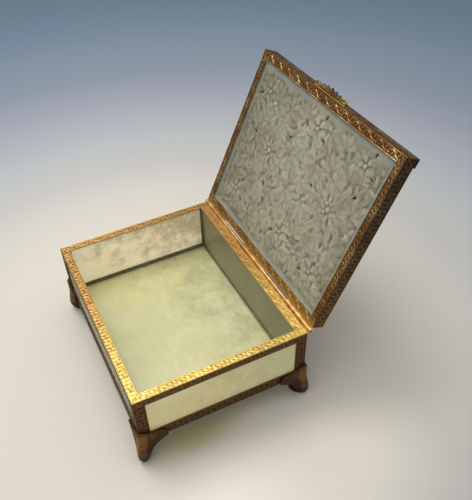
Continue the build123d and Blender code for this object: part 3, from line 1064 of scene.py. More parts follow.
def rosette_nodes(kit, height):
    """A small flower of six broad petals, for a reach of one."""
    petal = blade_nodes(kit, 0.9, 0.9, height, 0.1, 1.5, 0.1)
    return kit.gathered([petal_ring(kit, petal, 6, 0.0), bead_nodes(kit, 0.16, 0.0015)])


def petal_ring(kit, petals, count, turn):
    """Petals of uneven reach set round the origin. turn is a share of one petal's pitch."""
    ring = kit.ring(count, 1 * MM)
    index = kit.value("GeometryNodeInputIndex")
    angle = (index + turn) * (2 * math.pi / count) + (index * 4.1).sin() * (0.9 / count)
    reach = (index * 2.4 + turn).sin() * 0.13 + 0.9
    here = kit.moved(ring, Position=(0.0, 0.0, 0.0))
    return kit.laid(here, petals, Rotation=kit.joined(0.0, 0.0, angle), Scale=kit.joined(reach, reach, 1.0))


def bloom_nodes(kit, radius, height, rings, petal_width, first_turn=0.0):
    """A bloom: rings of bent petals that climb towards a beaded eye.

    first_turn turns the outer ring, so that its gaps meet the slots.
    """
    parts = []
    for index, (count, start, stop, tall, wide, bend) in enumerate(rings):
        petal = blade_nodes(kit, radius * (stop - start), petal_width * wide, height * tall, radius * start,
                            1.7, radius * bend, (12, 9))
        parts.append(petal_ring(kit, petal, count, 0.5 * (index % 2) if index else first_turn))
    bead = bead_nodes(kit, 0.9 * MM, 0.7)
    for count, share in ((1, 0.0), (6, 0.055)):
        ring = kit.ring(max(count, 3), radius * share)
        parts.append(kit.laid(kit.moved(ring, Offset=kit.joined(0.0, 0.0, height * 0.25)), bead))
    return kit.gathered(parts)


def carving_tree():
    """Sets the carved forms on their points."""
    tree, kit, given = geometry_tree("Carving", {
        "Bloom radius": ("NodeSocketFloat", 22 * MM), "Bud radius": ("NodeSocketFloat", 9.5 * MM),
        "Petal width": ("NodeSocketFloat", 3.4 * MM), "Height": ("NodeSocketFloat", 0.9 * MM),
        "Finish": ("NodeSocketMaterial", None)})
    kind = kit.stored("kind", "FLOAT")
    turn = kit.joined(0.0, 0.0, kit.stored("turn", "FLOAT"))
    length = kit.stored("length", "FLOAT")
    height, width = given["Height"], given["Petal width"]
    forms = (
        (bloom_nodes(kit, given["Bloom radius"], height, BLOOM_RINGS, width, 5 / 6), False),
        (bloom_nodes(kit, given["Bud radius"], height, BUD_RINGS, width), False),
        (fan_nodes(kit, height * 0.8), True),
        (rosette_nodes(kit, height * 0.8), True),
        (blade_nodes(kit, 1.0, 0.42, height * 0.66, 0.0, 1.1, 0.2, (13, 9)), True))
    laid = []
    for index, (form, grows) in enumerate(forms):
        chosen = kit.maths("COMPARE", kind, float(index), 0.1)
        scale = kit.joined(length, length, 1.0) if grows else (1.0, 1.0, 1.0)
        laid.append(kit.laid(given["Geometry"], form, Selection=chosen, Rotation=turn, Scale=scale))
    close_tree(kit, kit.gathered(laid), given["Finish"])
    return tree


def carved_sheet(field, slots, cell):
    """Flat grid over the carved field with its slots left open: points, faces and attributes.

    held is 1 at a slot's edge, and plain is 1 along the field's smooth edges.
    """
    columns, rows = (round(2 * side / cell) + 1 for side in field)
    across, up = np.meshgrid(np.linspace(-field[0], field[0], columns),
                             np.linspace(-field[1], field[1], rows))
    spots = np.column_stack([across.ravel(), up.ravel()])
    close = np.full(len(spots), 9.0)
    long, wide = 1.7 * MM, 0.9 * MM
    for x, y, angle in slots:
        along = np.array([math.cos(angle), math.sin(angle)])
        aside = np.array([-math.sin(angle), math.cos(angle)])
        away = spots - (x, y)
        share = np.hypot(away @ along / long, away @ aside / wide)
        beside = np.abs(share - 1) * wide < 0.5 * cell
        spots[beside] = (x, y) + away[beside] / share[beside, None]
        close = np.minimum(close, np.where(beside, 1.0, share))
    faces = np.array(grid_faces(rows, columns))
    faces = faces[(close[faces] > 0.999).all(1)]
    used = np.unique(faces)
    renumbered = np.zeros(len(spots), int)
    renumbered[used] = np.arange(len(used))
    x, y = spots.T
    sides = np.minimum(field[0] - np.abs(x), field[1] - y)
    front = y + field[1] - (3.2 + np.sin(x * 140) + 0.8 * np.sin(x * 330 + 1)) * MM
    plain = np.clip(1 - np.minimum(sides - 0.5 * MM, front) / (2.6 * MM), 0, 1)
    plain = plain * plain * (3 - 2 * plain)
    held = np.clip((1.4 - close) / 0.4, 0, 1)
    points = np.column_stack([spots, np.zeros(len(spots))])[used]
    return points, renumbered[faces].tolist(), {"held": ("FLOAT", held[used]),
                                                "plain": ("FLOAT", plain[used])}


def slot_lips(slots):
    """A smooth raised lip round each slot: points, faces and relief. Every other slot has the inner rows of
    its lip marked for painted light, as light seen through it.
    """
    sides = 16
    section = ((1.0, -0.15), (1.02, 0.12), (1.14, 0.3), (1.34, 0.3), (1.6, 0.1), (1.75, -0.15))
    points, faces = [], []
    for slot in slots:
        start = len(points) * sides
        for spread, level in section:
            ring = slot_ring(slot, sides, 0.8 * (spread - 1) * MM)
            points.append(np.column_stack([ring, np.full(sides, level * MM)]))
        faces += [tuple(index + start for index in face) for face in grid_faces(len(section), sides, True)]
    points = np.vstack(points)
    painted_lit = np.arange(len(points)) // (len(section) * sides) % 2 == 0
    inner = np.arange(len(points)) // sides % len(section) < 3
    return points, faces, np.where(painted_lit & inner, PAINTED_LIT, 0.75)


def draped_tree():
    """Lays a sheet over the carved forms, fills the ground with flowing ridges and softens it."""
    tree, kit, given = geometry_tree("Draped carving", {
        "Forms": ("NodeSocketObject", None), "Height": ("NodeSocketFloat", 0.9 * MM),
        "Ground": ("NodeSocketFloat", 0.4), "Softness": ("NodeSocketInt", 1),
        "Finish": ("NodeSocketMaterial", None)})
    forms = kit.value("GeometryNodeObjectInfo", None, {"Object": given["Forms"]}, "Geometry")
    x, y, _ = kit.split(kit.value("GeometryNodeInputPosition"))
    struck = kit.node("GeometryNodeRaycast", None, {
        "Target Geometry": forms, "Source Position": kit.joined(x, y, 10 * MM),
        "Ray Direction": (0.0, 0.0, -1.0), "Ray Length": 20 * MM})
    hit = Value(kit, struck.outputs["Is Hit"])
    top = kit.split(Value(kit, struck.outputs["Hit Position"]))[2] * hit
    flow = kit.noise(kit.joined(x, y, 0.0), 75.0, 2.0, 0.5, 0.6)
    ridges = ((flow * 70.0).sin() * 0.5 + 0.5) * (kit.noise(kit.joined(y, x, 0.0), 160.0) * 0.9 + 0.4)
    ground = ridges * given["Ground"] * given["Height"]
    free = 1.0 - kit.stored("held", "FLOAT")
    plain = kit.stored("plain", "FLOAT")
    height = top.at_least(ground) * (1.0 - plain) + given["Height"] * 0.5 * plain
    height = height * free - (1.0 - free) * SLOT_EDGE_SUNK
    soft = kit.value("GeometryNodeBlurAttribute", None, {"Value": height, "Iterations": given["Softness"]})
    # The relief kept for the finish is the height above its broad blur: it paints shade into the cuts and
    # highlight onto the raised edges
    broad = kit.value("GeometryNodeBlurAttribute", None, {"Value": height, "Iterations": 24})
    relief = ((soft - broad) / (given["Height"] * 0.45) + 0.5).held() * (1.0 - plain) + plain * 0.5
    kept = kit.with_relief(given["Geometry"], relief)
    close_tree(kit, kit.moved(kept, Position=kit.joined(x, y, soft)), given["Finish"])
    return tree


def pierced_plate(reach, slots):
    """Flat plate of unit thickness with its slots cut through: points and faces."""
    outline = bpy.data.curves.new("plate", "CURVE")
    outline.dimensions = "2D"
    outline.fill_mode = "BOTH"
    outline.extrude = 0.5
    rings = [[(-reach[0], -reach[1]), (reach[0], -reach[1]), (reach[0], reach[1]), (-reach[0], reach[1])]]
    rings += [slot_ring(slot, 14) for slot in slots]
    for ring in rings:
        spline = outline.splines.new("POLY")
        spline.points.add(len(ring) - 1)
        spline.use_cyclic_u = True
        for point, (x, y) in zip(spline.points, ring):
            point.co = (x, y, 0.0, 1.0)
    holder = bpy.data.objects.new("plate", outline)
    bpy.context.scene.collection.objects.link(holder)
    graph = bpy.context.evaluated_depsgraph_get()
    mesh = bpy.data.meshes.new_from_object(holder.evaluated_get(graph))
    work = bmesh.new()
    work.from_mesh(mesh)
    bmesh.ops.remove_doubles(work, verts=work.verts, dist=1e-7)
    work.to_mesh(mesh)
    work.free()
    points = flat_points(mesh) + (0, 0, 0.5)
    faces = [tuple(face.vertices) for face in mesh.polygons]
    bpy.data.objects.remove(holder)
    bpy.data.curves.remove(outline)
    bpy.data.meshes.remove(mesh)
    return points, faces


def plaque_border(low, high, window, ground, sizes):
    """Smooth raised border round the carved field on the underside, as joined_parts takes it."""
    middle = (low + high) / 2
    inner = np.array(window) - sizes.plaque_border
    wide = high[0] - middle[0] - inner[0]
    held = high[0] - middle[0] - window[0]
    soft = ground - low[2]
    section = [(0, ground), (0, low[2]), (held + 0.2 * MM, low[2]), (held + 0.5 * MM, low[2] + 0.3 * soft),
               (held + 0.9 * MM, ground)]
    points, faces = [], []
    for x_sign, y_sign in ((-1, -1), (1, -1), (1, 1), (-1, 1)):
        for inset, level in section:
            back = inset * (high[1] - middle[1] - inner[1]) / wide
            points.append((middle[0] + x_sign * (high[0] - middle[0] - inset),
                           middle[1] + y_sign * (high[1] - middle[1] - back), level))
    count = len(section)
    for side in range(4):
        for index in range(count):
            following = (side + 1) % 4
            faces.append((side * count + index, following * count + index,
                          following * count + (index + 1) % count, side * count + (index + 1) % count))
    return np.array(points), faces, np.full(len(points), 0.5), False


# Settings

def length_setting(label, note, default):
    return bpy.props.FloatProperty(name=label, description=note, default=default, min=0.0, precision=5,
                                   unit="LENGTH", subtype="DISTANCE")


def number_setting(label, note, default):
    return bpy.props.FloatProperty(name=label, description=note, default=default, min=0.0)


def colour_setting(label, note, default):
    return bpy.props.FloatVectorProperty(name=label, description=note, default=default, subtype="COLOR",
                                         size=3, min=0.0, max=1.0)


class JadeBoxSizes(bpy.types.PropertyGroup):
    """Sizes of the worked surfaces."""
    strip: length_setting("Strip", "Thickness of the chased strip", 0.8 * MM)
    cell: length_setting("Cell", "Finest division of a chased band", 0.38 * MM)
    edge: length_setting("Edge", "Rounding of the strip's edges", 0.25 * MM)
    chase_depth: length_setting("Chasing depth", "Depth of the ground below the chased leaves", 0.38 * MM)
    pitch: number_setting("Scroll pitch", "Full wave of the scroll, in half widths of its band", 4.0)
    rib_depth: length_setting("Rib depth", "Depth of the ribs and flutes on the feet", 0.5 * MM)
    foot_proud: length_setting("Foot proud", "Distance of the feet's upper part from the frame", 1.7 * MM)
    toe_reach: length_setting("Toe reach", "Reach of the toes along the frame", 3.8 * MM)
    carve_depth: length_setting("Carving depth", "Depth of the plaque's sunk and carved field", 1.3 * MM)
    carve_cell: length_setting("Carving cell", "Finest division of the carved field", 0.56 * MM)
    ground_share: number_setting("Ground ridges", "Height of the ground's ridges as a share of it", 0.3)
    petal_width: length_setting("Petal width", "Width of the outer petals", 3.4 * MM)
    bloom_radius: length_setting("Bloom radius", "Reach of the large blooms", 22 * MM)
    bud_radius: length_setting("Bud radius", "Reach of the buds", 9.5 * MM)
    plaque_border: length_setting("Plain border", "Plain border inside the lid's window", 4.0 * MM)


class JadeBoxColours(bpy.types.PropertyGroup):
    """Colours of the metal and the stone."""
    # On the rim gilt_high and gilt_fair are the colours under its painted reflection at the near end, and
    # gilt_warm and gilt_dusk those further off where the painted reflection fades; on the lid gilt_warm and
    # gilt_deep are the gilding's own colours
    gilt_high: colour_setting("Gilt high", "Rubbed gilding", (0.88, 0.61, 0.17))
    gilt_light: colour_setting("Gilt light", "Brightest edges of the chasing", (0.92, 0.7, 0.3))
    gilt_warm: colour_setting("Gilt warm", "Gilding worn thin", (0.49, 0.215, 0.052))
    gilt_fair: colour_setting("Gilt fair", "Ground of the bright chasing", (0.5, 0.29, 0.06))
    gilt_dusk: colour_setting("Gilt dusk", "Ground of the rim away from the light", (0.2, 0.08, 0.02))
    gilt_deep: colour_setting("Gilt deep", "Ground of the worn chasing", (0.12, 0.045, 0.01))
    bronze_high: colour_setting("Bronze high", "Rubbed brown bronze", (0.155, 0.08, 0.028))
    bronze_warm: colour_setting("Bronze warm", "Reddish bronze", (0.13, 0.056, 0.023))
    bronze_deep: colour_setting("Bronze deep", "Ground of the bronze", (0.062, 0.029, 0.014))
    cast_high: colour_setting("Cast high", "Rubbed high points of the castings", (0.29, 0.132, 0.042))
    crest_high: colour_setting("Crest high", "Rubbed metal of the leaf crest", (0.42, 0.26, 0.08))
    cast_deep: colour_setting("Cast deep", "Patina of the castings", (0.085, 0.04, 0.019))
    # The cream of the far end plate and the gold of the near end plate are partly painted light, and the dull
    # grey green of the back plate, which the front plate shares, partly painted shade, besides the stone's
    # own tones
    jade_tone: colour_setting("Jade", "Pale green of the plain plates", (0.72, 0.695, 0.375))
    jade_pale: colour_setting("Jade clouds", "Pale clouds in the plates", (0.82, 0.79, 0.51))
    jade_gold: colour_setting("Golden jade", "Warm tone of the near end plate", (0.72, 0.64, 0.31))
    jade_light: colour_setting("Light jade", "Clouds in the cream plate", (0.9, 0.82, 0.62))
    jade_cream: colour_setting("Cream jade", "Cream of the far end plate", (0.84, 0.73, 0.52))
    jade_dull: colour_setting("Dull jade", "Grey green of the back plate", (0.265, 0.253, 0.147))
    jade_dull_pale: colour_setting("Dull jade clouds", "Clouds in the back plate", (0.325, 0.312, 0.19))
    jade_grey: colour_setting("Jade smoke", "Grey brown mottling", (0.4, 0.32, 0.19))
    jade_moss: colour_setting("Jade moss", "Deeper green in the pale plates", (0.41, 0.41, 0.22))
    # carved_high is partly painted highlight on the raised edges of the carving, carved_deep partly painted
    # shade in its cuts, and the blue of the border a painted reflection of the sky
    carved_high: colour_setting("Carving high", "Worked edges of the carving", (0.58, 0.55, 0.39))
    carved_deep: colour_setting("Carving deep", "Cuts of the carving", (0.22, 0.2, 0.125))
    carved_grey: colour_setting("Carving grey", "Grey clouds in the plaque", (0.42, 0.405, 0.3))
    carved_olive: colour_setting("Carving olive", "Olive stains in the plaque", (0.27, 0.235, 0.13))
    carved_blue_reflection: colour_setting("Carving blue", "Smooth border of the plaque", (0.34, 0.35, 0.3))


def settings():
    """The scene's sizes and colours of the box."""
    scene = bpy.context.scene
    return scene.jade_box_sizes, scene.jade_box_colours


def chased_metal():
    """The finish of every gilt strip, made once."""
    sizes, colours = settings()
    return bpy.data.materials.get("chased_gilt") or chased_finish("chased_gilt", colours, sizes.pitch)


def chase(made, node, share=1.0, finish=None):
    """Works the scroll into a strip, to a share of the full depth, and sets it in place."""
    sizes, _ = settings()
    tree = bpy.data.node_groups.get("Chased strip") or chasing_tree()
    worked(made, tree, {"Depth": sizes.chase_depth * share, "Pitch": sizes.pitch,
                        "Finish": finish or chased_metal()})
    made.data.attributes.remove(made.data.attributes["out"])
    set_in_place(made, node)


def chased_frame(name, rails, corners, edges, plan, width, draw, share=1.0, front_gilt=None, **lid):
    """Four mitred strips round a plan, with the scroll on bands of that width.

    Where front_gilt is given, it takes the place of the front strip's first gilt. lid holds what on_side
    needs for a strip of the lid.
    """
    sizes, _ = settings()
    for side, turn, length, out in frame_sides(*plan):
        runs = [(1, front_gilt), *edges[1:]] if front_gilt and side == "front" else edges
        rows = strip_section(corners, runs, sizes.cell)
        made = chased_strip(name + side, rows, mitred(length), on_side(turn, out, **lid), draw.random() * 4,
                            width, sizes.cell)
        chase(made, rails + side, share)


# Pieces

class JADEBOX_OT_body_frame(bpy.types.Operator):
    """Chased rim rails, base rails and corner posts"""
    bl_idname = "jade_box.body_frame"
    bl_label = "Body frame"

    def execute(self, context):
        sizes, _ = settings()
        strip, edge = sizes.strip, sizes.edge
        draw = random.Random(BODY_SEED)
        plan = plan_of("rim_rail_")
        low, high = box_of("rim_rail_front")
        width = high[1] - low[1]
        edges = [(1, 0.06), (1, 1.0), (0, 0.8), (0, 0.2), (0, 0.2), (0, 0.1)]
        chased_frame("rim_", "rim_rail_", angle_corners(low[2], high[2], width, strip, edge), edges, plan,
                     width, draw, 0.4)
        low, high = box_of("base_rail_front")
        flange = high[1] - low[1]
        corners = [(0, low[2], edge), (0, high[2], edge), (strip, high[2], 0), (strip, low[2] + strip, 0),
                   (flange, low[2] + strip, 0), (flange, low[2], 0)]
        edges = [(1, 0.0), (0, 0.1), (0, 0.0), (0, 0.0), (0, 0.0), (0, 0.0)]
        chased_frame("base_", "base_rail_", corners, edges, plan, high[2] - low[2], draw)
        for name, x_sign, y_sign in CORNERS:
            low, high = box_of("corner_post_" + name)
            leg = high[0] - low[0]
            corners = [(0, 0, edge), (leg, 0, edge), (leg, strip, 0), (strip, strip, 0), (strip, leg, 0),
                       (0, leg, edge)]
            edges = [(1, 0.0), (0, 0.05), (0, 0.0), (0, 0.0), (0, 0.05), (1, 0.0)]
            place = up_corner(high[0] if x_sign > 0 else low[0], high[1] if y_sign > 0 else low[1], x_sign,
                              y_sign)
            made = chased_strip("post_" + name, strip_section(corners, edges, sizes.cell),
                                square_ended(low[2], high[2]), place, draw.random() * 4, leg, sizes.cell)
            chase(made, "corner_post_" + name)
        return {"FINISHED"}


class JADEBOX_OT_lid_frame(bpy.types.Operator):
    """Chased lid rails, bezel strips and front bar"""
    bl_idname = "jade_box.lid_frame"
    bl_label = "Lid frame"

    def execute(self, context):
        sizes, _ = settings()
        strip, edge = sizes.strip, sizes.edge
        draw = random.Random(LID_SEED)
        plan = plan_of("lid_rail_")
        middle = (plan[0] + plan[1]) / 2
        low, high = box_of("lid_rail_front")
        width = high[1] - low[1]
        edges = [(1, 0.12), (1, 0.9), (0, 0.6), (0, 0.2), (0, 0.1), (0, 0.3)]
        chased_frame("lid_side_", "lid_rail_", angle_corners(high[2], low[2], width, strip, edge), edges,
                     plan, width, draw, front_gilt=0.55, middle=middle, lid=True)
        low, high = box_of("lid_bezel_front")
        width = high[1] - low[1]
        corners = [(0, low[2], 0), (0, high[2], 0), (width, high[2], edge * 2), (width, low[2], 0)]
        edges = [(0, 0.2), (1, 0.8), (0, 0.5), (0, 0.2)]
        chased_frame("bezel_", "lid_bezel_", corners, edges, plan_of("lid_bezel_"), width, draw,
                     middle=middle, lid=True)
        low, high = box_of("lid_front_bar")
        width = high[1] - low[1]
        corners = [(0, low[2], 0), (0, high[2], edge), (width, high[2], edge), (width, low[2], 0)]
        rows = strip_section(corners, [(0, 0.0), (1, 0.2), (0, 0.0), (0, 0.0)], sizes.cell)
        bar = chased_strip("front_bar", rows, square_ended(low[0], high[0]), on_side(0.0, -low[1], lid=True),
                           0.0, width, sizes.cell)
        chase(bar, "lid_front_bar", finish=plain_metal_finish("dark_bronze", (0.018, 0.011, 0.006),
                                                              (0.007, 0.004, 0.003), 0.7, 0.2))
        return {"FINISHED"}


class JADEBOX_OT_feet(bpy.types.Operator):
    """Cast corner feet with ribbed toes and leaf wings"""
    bl_idname = "jade_box.feet"
    bl_label = "Feet"

    def execute(self, context):
        sizes, colours = settings()
        finish = cast_finish("cast_bronze", colours, colours.cast_high)
        rail = box_of("base_rail_front")[0][2]
        body_high = box_of("rim_rail_right")[1]
        for name, x_sign, y_sign in CORNERS:
            node = "foot_" + name
            low, high = box_of(node)
            wing = high[1] - low[1] - (abs(low[1] if y_sign < 0 else high[1]) - body_high[1])
            flare = max(abs(low[0]), abs(high[0])) - body_high[0]
            corner = (x_sign * body_high[0], y_sign * body_high[1])
            made = cast_foot("cast_" + node, corner, x_sign, y_sign, rail, wing, flare, high[2] - rail, sizes)
            made.data.materials.append(finish)
            set_in_place(made, node)
        return {"FINISHED"}


class JADEBOX_OT_thumb_piece(bpy.types.Operator):
    """Leaf crest at the middle of the lid's front edge"""
    bl_idname = "jade_box.thumb_piece"
    bl_label = "Thumb piece"

    def execute(self, context):
        _, colours = settings()
        made = leaf_crest("leaf_crest", *box_of("thumb_piece"), box_of("lid_rail_front")[0][1])
        made.data.materials.append(cast_finish("cast_gilt", colours, colours.crest_high))
        set_in_place(made, "thumb_piece")
        return {"FINISHED"}


class JADEBOX_OT_plaque(bpy.types.Operator):
    """Carved and pierced jade plaque of the lid"""
    bl_idname = "jade_box.plaque"
    bl_label = "Carved plaque"

    def execute(self, context):
        sizes, colours = settings()
        low, high = box_of("lid_plaque")
        middle = (low + high) / 2
        ground = low[2] + sizes.carve_depth
        top = box_of("lid_bezel_front")[0][2]
        window = (box_of("lid_bezel_right")[0][0] - middle[0], box_of("lid_bezel_back")[0][1] - middle[1])
        reach = (high - middle)[:2]
        blooms = bloom_layout(reach)
        slots = pierced_slots(blooms, sizes)
        finish = carved_jade_finish("carved_stone", colours)
        forms = mesh_object("forms", *carving_points(blooms, slots, window, sizes), outward=False)
        worked(forms, carving_tree(), {"Finish": finish, "Petal width": sizes.petal_width,
                                       "Height": sizes.carve_depth, "Bloom radius": sizes.bloom_radius,
                                       "Bud radius": sizes.bud_radius})
        field = np.array(window) - 0.3 * MM
        carving = mesh_object("carving", *carved_sheet(field, slots, sizes.carve_cell), outward=False)
        worked(carving, draped_tree(), {"Forms": forms, "Height": sizes.carve_depth, "Softness": 1,
                                        "Ground": sizes.ground_share, "Finish": finish})
        relief, plain = np.zeros((2, len(carving.data.vertices)), np.float32)
        carving.data.attributes["relief"].data.foreach_get("value", relief)
        carving.data.attributes["plain"].data.foreach_get("value", plain)
        petals = flat_points(carving.data)
        quads = [tuple(face.vertices) for face in carving.data.polygons]
        bpy.data.objects.remove(carving)
        bpy.data.objects.remove(forms)

        def on_both(points, faces, shade):
            """A form on the upper face, and its mirror image in the sunk field of the underside."""
            grow = (high[2] - top) / sizes.carve_depth
            turned_over = [face[::-1] for face in faces]
            return [(points * (1, 1, grow) + (*middle[:2], top), faces, shade, True),
                    (points * (1, 1, -1) + (*middle[:2], ground), turned_over, shade, True)]

        flat, sheets = pierced_plate(reach, slots)
        nearest = np.hypot(flat[:, None, 0] - slots[:, 0], flat[:, None, 1] - slots[:, 1])
        # Every other slot's walls are marked for painted light seen through it; the plate's other slot walls
        # get the dark colour of the cuts as painted shade
        painted_lit = (nearest.min(1) < 2 * MM) & (nearest.argmin(1) % 2 == 0)
        border = plaque_border(low, high, window, ground, sizes)
        solid = flat * (1, 1, top - ground) + (*middle[:2], ground)
        parts = [*on_both(petals, quads, relief), (solid, sheets, np.where(painted_lit, PAINTED_LIT, 0.1), False),
                 *on_both(*slot_lips(slots)), border]
        made = joined_parts("carved_plaque", parts)
        bands = np.zeros(len(made.data.vertices), np.float32)
        bands[:2 * len(plain)] = np.tile(plain, 2)
        bands[len(bands) - len(border[0]):] = 1.0
        made.data.attributes.new("plain", "FLOAT", "POINT").data.foreach_set("value", bands)
        made.data.materials.append(finish)
        set_in_place(made, "lid_plaque")
        return {"FINISHED"}


class JADEBOX_OT_jade_plates(bpy.types.Operator):
    """Plain jade walls and floor"""
    bl_idname = "jade_box.jade_plates"
    bl_label = "Jade plates"

    def execute(self, context):
        _, colours = settings()
        pale, grey, moss = colours.jade_pale, colours.jade_grey, colours.jade_moss
        # Painted light and shade on the plates, besides the stone's own tones and mottling: the far end is a
        # paler cream and glows, the near end glows, the floor and the end plates darken towards the back
        # where the lid shades them, the floor darkens along the walls, and the back and front plates are a
        # dull, darker stone partly as painted shade
        dress("jade_floor", jade_finish("jade_floor_stone", colours.jade_tone, pale, moss, 0.6, 24.0,
                                        (0.0, 0.0, 0.0), mottle_and_shade_lean=(-0.9, 3.0, 0.0, -0.08), shaded=FLOOR_CLEAR))
        dress("jade_wall_left", jade_finish("jade_cream_stone", colours.jade_cream, colours.jade_light, grey,
                                            0.8, 36.0, (0.2, 0.0, 0.1), mottle_and_shade_lean=(0.0, 2.3, 4.5, -0.17),
                                            painted_glow=0.38))
        dress("jade_wall_right", jade_finish("jade_end_stone", colours.jade_gold, pale, moss, 0.4, 30.0,
                                             (0.0, 0.3, 0.0), mottle_and_shade_lean=(0.0, 5.5, 0.0, 0.0), painted_glow=0.18))
        dull = jade_finish("jade_dull_stone", colours.jade_dull, colours.jade_dull_pale, grey, 0.06, 30.0,
                           (0.5, 0.2, 0.0), gloss=0.08)
        dress("jade_wall_back", dull)
        dress("jade_wall_front", dull)
        return {"FINISHED"}


class JADEBOX_OT_inner_strips(bpy.types.Operator):
    """Dark strips along the foot of each wall and in the corners"""
    bl_idname = "jade_box.inner_strips"
    bl_label = "Inner strips"

    def execute(self, context):
        finish = plain_metal_finish("dark_strip", (0.24, 0.21, 0.105), (0.14, 0.122, 0.06), 0.6, 0.15)
        for node in frame["nodes"]:
            if node.startswith(("floor_strip_", "corner_strip_")):
                dress(node, finish)
        return {"FINISHED"}


class JADEBOX_OT_hinge(bpy.types.Operator):
    """Hinge knuckles and pin"""
    bl_idname = "jade_box.hinge"
    bl_label = "Hinge"

    def execute(self, context):
        dark = plain_metal_finish("dark_pin", (0.03, 0.02, 0.012), (0.012, 0.008, 0.005), 0.5, 0.5)
        bright = plain_metal_finish("rubbed_brass", (0.92, 0.6, 0.23), (0.55, 0.3, 0.09), 0.4)
        for node in frame["nodes"]:
            if node.startswith("hinge_"):
                dress(node, dark if "pin" in node else bright)
        return {"FINISHED"}


# Floor: its radius and sides, its tone by the distance from the box in metres, and soft spots of light and
# shade, each with its middle, its reach along X and Y, its colour and its share
FLOOR_RADIUS, FLOOR_SIDES = 4.0, 96
FLOOR_TONES = (
    (0.0, (0.8, 0.76, 0.66)), (0.15, (0.795, 0.745, 0.64)), (0.2, (0.72, 0.69, 0.62)),
    (0.24, (0.62, 0.6, 0.565)), (0.285, (0.55, 0.565, 0.56)), (0.38, (0.39, 0.41, 0.47)),
    (0.44, (0.3, 0.345, 0.41)), (0.62, (0.195, 0.267, 0.35)), (0.7, (0.175, 0.24, 0.315)),
    (1.0, (0.15, 0.21, 0.28)))
FLOOR_SPOTS = (((0.13, -0.03), (0.07, 0.07), (0.97, 0.92, 0.82), 0.9),
               ((0.2, 0.12), (0.08, 0.1), (0.5, 0.46, 0.44), 0.8),
               ((0.074, -0.022), (0.018, 0.05), (0.5, 0.43, 0.16), 0.75))

# Light from below and from above, and what the camera sees past the floor
LOW_SKY, HIGH_SKY, BACKDROP = (0.24, 0.29, 0.35, 1.0), (0.9, 0.9, 0.9, 1.0), (0.127, 0.185, 0.247, 1.0)
SKY_STRENGTH = 0.55

# Lamps: name, place, aim, size and power
LAMPS = (("key", (-0.35, -0.12, 1.0), (0.0, 0.0, 0.03), 0.5, 3.2),
         ("sky", (-0.1, -0.35, 1.2), (0.0, 0.0, 0.03), 1.8, 7.0))

# Camera: its place, the way it looks, its right hand, its lens in mm and its shifts
CAMERA_PLACE = (0.28007, -0.08937, 0.34687)
CAMERA_FORWARD = (-0.65345, 0.27798, -0.70408)
CAMERA_RIGHT = (0.4303, 0.90164, -0.04337)
LENS_MM, LENS_SHIFT = 44.5747, (0.041555, 0.076291)


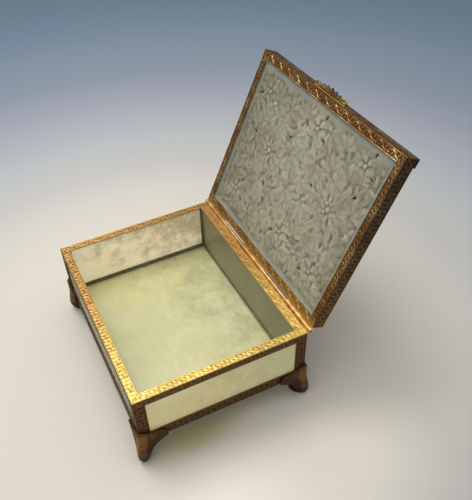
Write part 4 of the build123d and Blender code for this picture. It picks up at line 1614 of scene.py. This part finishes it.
class JADEBOX_OT_stage(bpy.types.Operator):
    """Floor, lights and camera"""
    bl_idname = "jade_box.stage"
    bl_label = "Stage"

    def execute(self, context):
        finish, kit = new_finish("pale_floor")
        x, y, _ = kit.split(kit.object_place())
        distance = (x * x + y * y).root()
        shown = kit.value("ShaderNodeValToRGB", {"stops": FLOOR_TONES}, {"Fac": distance})
        for middle, reach, colour, amount in FLOOR_SPOTS:
            part_x, part_y = (x - middle[0]) / reach[0], (y - middle[1]) / reach[1]
            share = (1.0 - (part_x * part_x + part_y * part_y).root().step(0.0, 1.0)) * amount
            shown = kit.mixed(share, shown, rgba(colour))
        close_finish(kit, {"Base Color": shown, "Roughness": 0.75, "Specular IOR Level": 0.2})
        turns = [2 * math.pi * side / FLOOR_SIDES for side in range(FLOOR_SIDES)]
        ring = [(FLOOR_RADIUS * math.cos(turn), FLOOR_RADIUS * math.sin(turn), 0.0) for turn in turns]
        floor = mesh_object("floor", ring, [tuple(range(FLOOR_SIDES))], smooth=False, outward=False)
        floor.data.materials.append(finish)

        world = bpy.data.worlds.new("studio")
        world.use_nodes = True
        world.node_tree.nodes.clear()
        kit = Kit(world.node_tree)
        height = kit.split(kit.value("ShaderNodeTexCoord", output="Generated"))[2]
        sky = kit.mixed(height.step(-0.05, 0.95), LOW_SKY, HIGH_SKY)
        seen = kit.mixed(kit.value("ShaderNodeLightPath", output="Is Camera Ray"), sky, BACKDROP)
        back = kit.value("ShaderNodeBackground", None, {"Color": seen, "Strength": SKY_STRENGTH})
        kit.node("ShaderNodeOutputWorld", None, {"Surface": back})
        context.scene.world = world

        for name, place, aim, size, power in LAMPS:
            lamp = bpy.data.lights.new(name, "AREA")
            lamp.shape = "DISK"
            lamp.size = size
            lamp.energy = power
            hung = bpy.data.objects.new(name, lamp)
            hung.location = place
            hung.rotation_euler = (Vector(aim) - Vector(place)).to_track_quat("-Z", "Y").to_euler()
            context.scene.collection.objects.link(hung)

        forward = Vector(CAMERA_FORWARD).normalized()
        right = Vector(CAMERA_RIGHT)
        right = (right - forward * right.dot(forward)).normalized()
        lens = bpy.data.cameras.new("photo_view")
        lens.lens = LENS_MM
        lens.shift_x, lens.shift_y = LENS_SHIFT
        lens.clip_start = 10 * MM
        camera = bpy.data.objects.new("photo_view", lens)
        turn = Matrix((right, right.cross(forward), -forward)).transposed().to_4x4()
        camera.matrix_world = Matrix.Translation(CAMERA_PLACE) @ turn
        context.scene.collection.objects.link(camera)
        context.scene.camera = camera
        context.scene.view_settings.view_transform = "Standard"
        return {"FINISHED"}


class JADEBOX_PT_panel(bpy.types.Panel):
    """The box's pieces and settings"""
    bl_idname = "JADEBOX_PT_panel"
    bl_label = "Jade box"
    bl_space_type = "VIEW_3D"
    bl_region_type = "UI"
    bl_category = "Jade box"

    def draw(self, context):
        for operator in OPERATORS:
            self.layout.operator(operator.bl_idname)
        for group in (context.scene.jade_box_sizes, context.scene.jade_box_colours):
            column = self.layout.column()
            for key in group.__annotations__:
                column.prop(group, key)


OPERATORS = (JADEBOX_OT_body_frame, JADEBOX_OT_lid_frame, JADEBOX_OT_jade_plates, JADEBOX_OT_plaque,
             JADEBOX_OT_feet, JADEBOX_OT_thumb_piece, JADEBOX_OT_inner_strips, JADEBOX_OT_hinge,
             JADEBOX_OT_stage)
CLASSES = (JadeBoxSizes, JadeBoxColours, *OPERATORS, JADEBOX_PT_panel)


def register():
    for cls in CLASSES:
        bpy.utils.register_class(cls)
    bpy.types.Scene.jade_box_sizes = bpy.props.PointerProperty(type=JadeBoxSizes)
    bpy.types.Scene.jade_box_colours = bpy.props.PointerProperty(type=JadeBoxColours)


def unregister():
    del bpy.types.Scene.jade_box_colours
    del bpy.types.Scene.jade_box_sizes
    for cls in reversed(CLASSES):
        bpy.utils.unregister_class(cls)


def main():
    register()
    for operator in OPERATORS:
        group, name = operator.bl_idname.split(".")
        getattr(getattr(bpy.ops, group), name)()


if __name__ == "__main__":
    main()
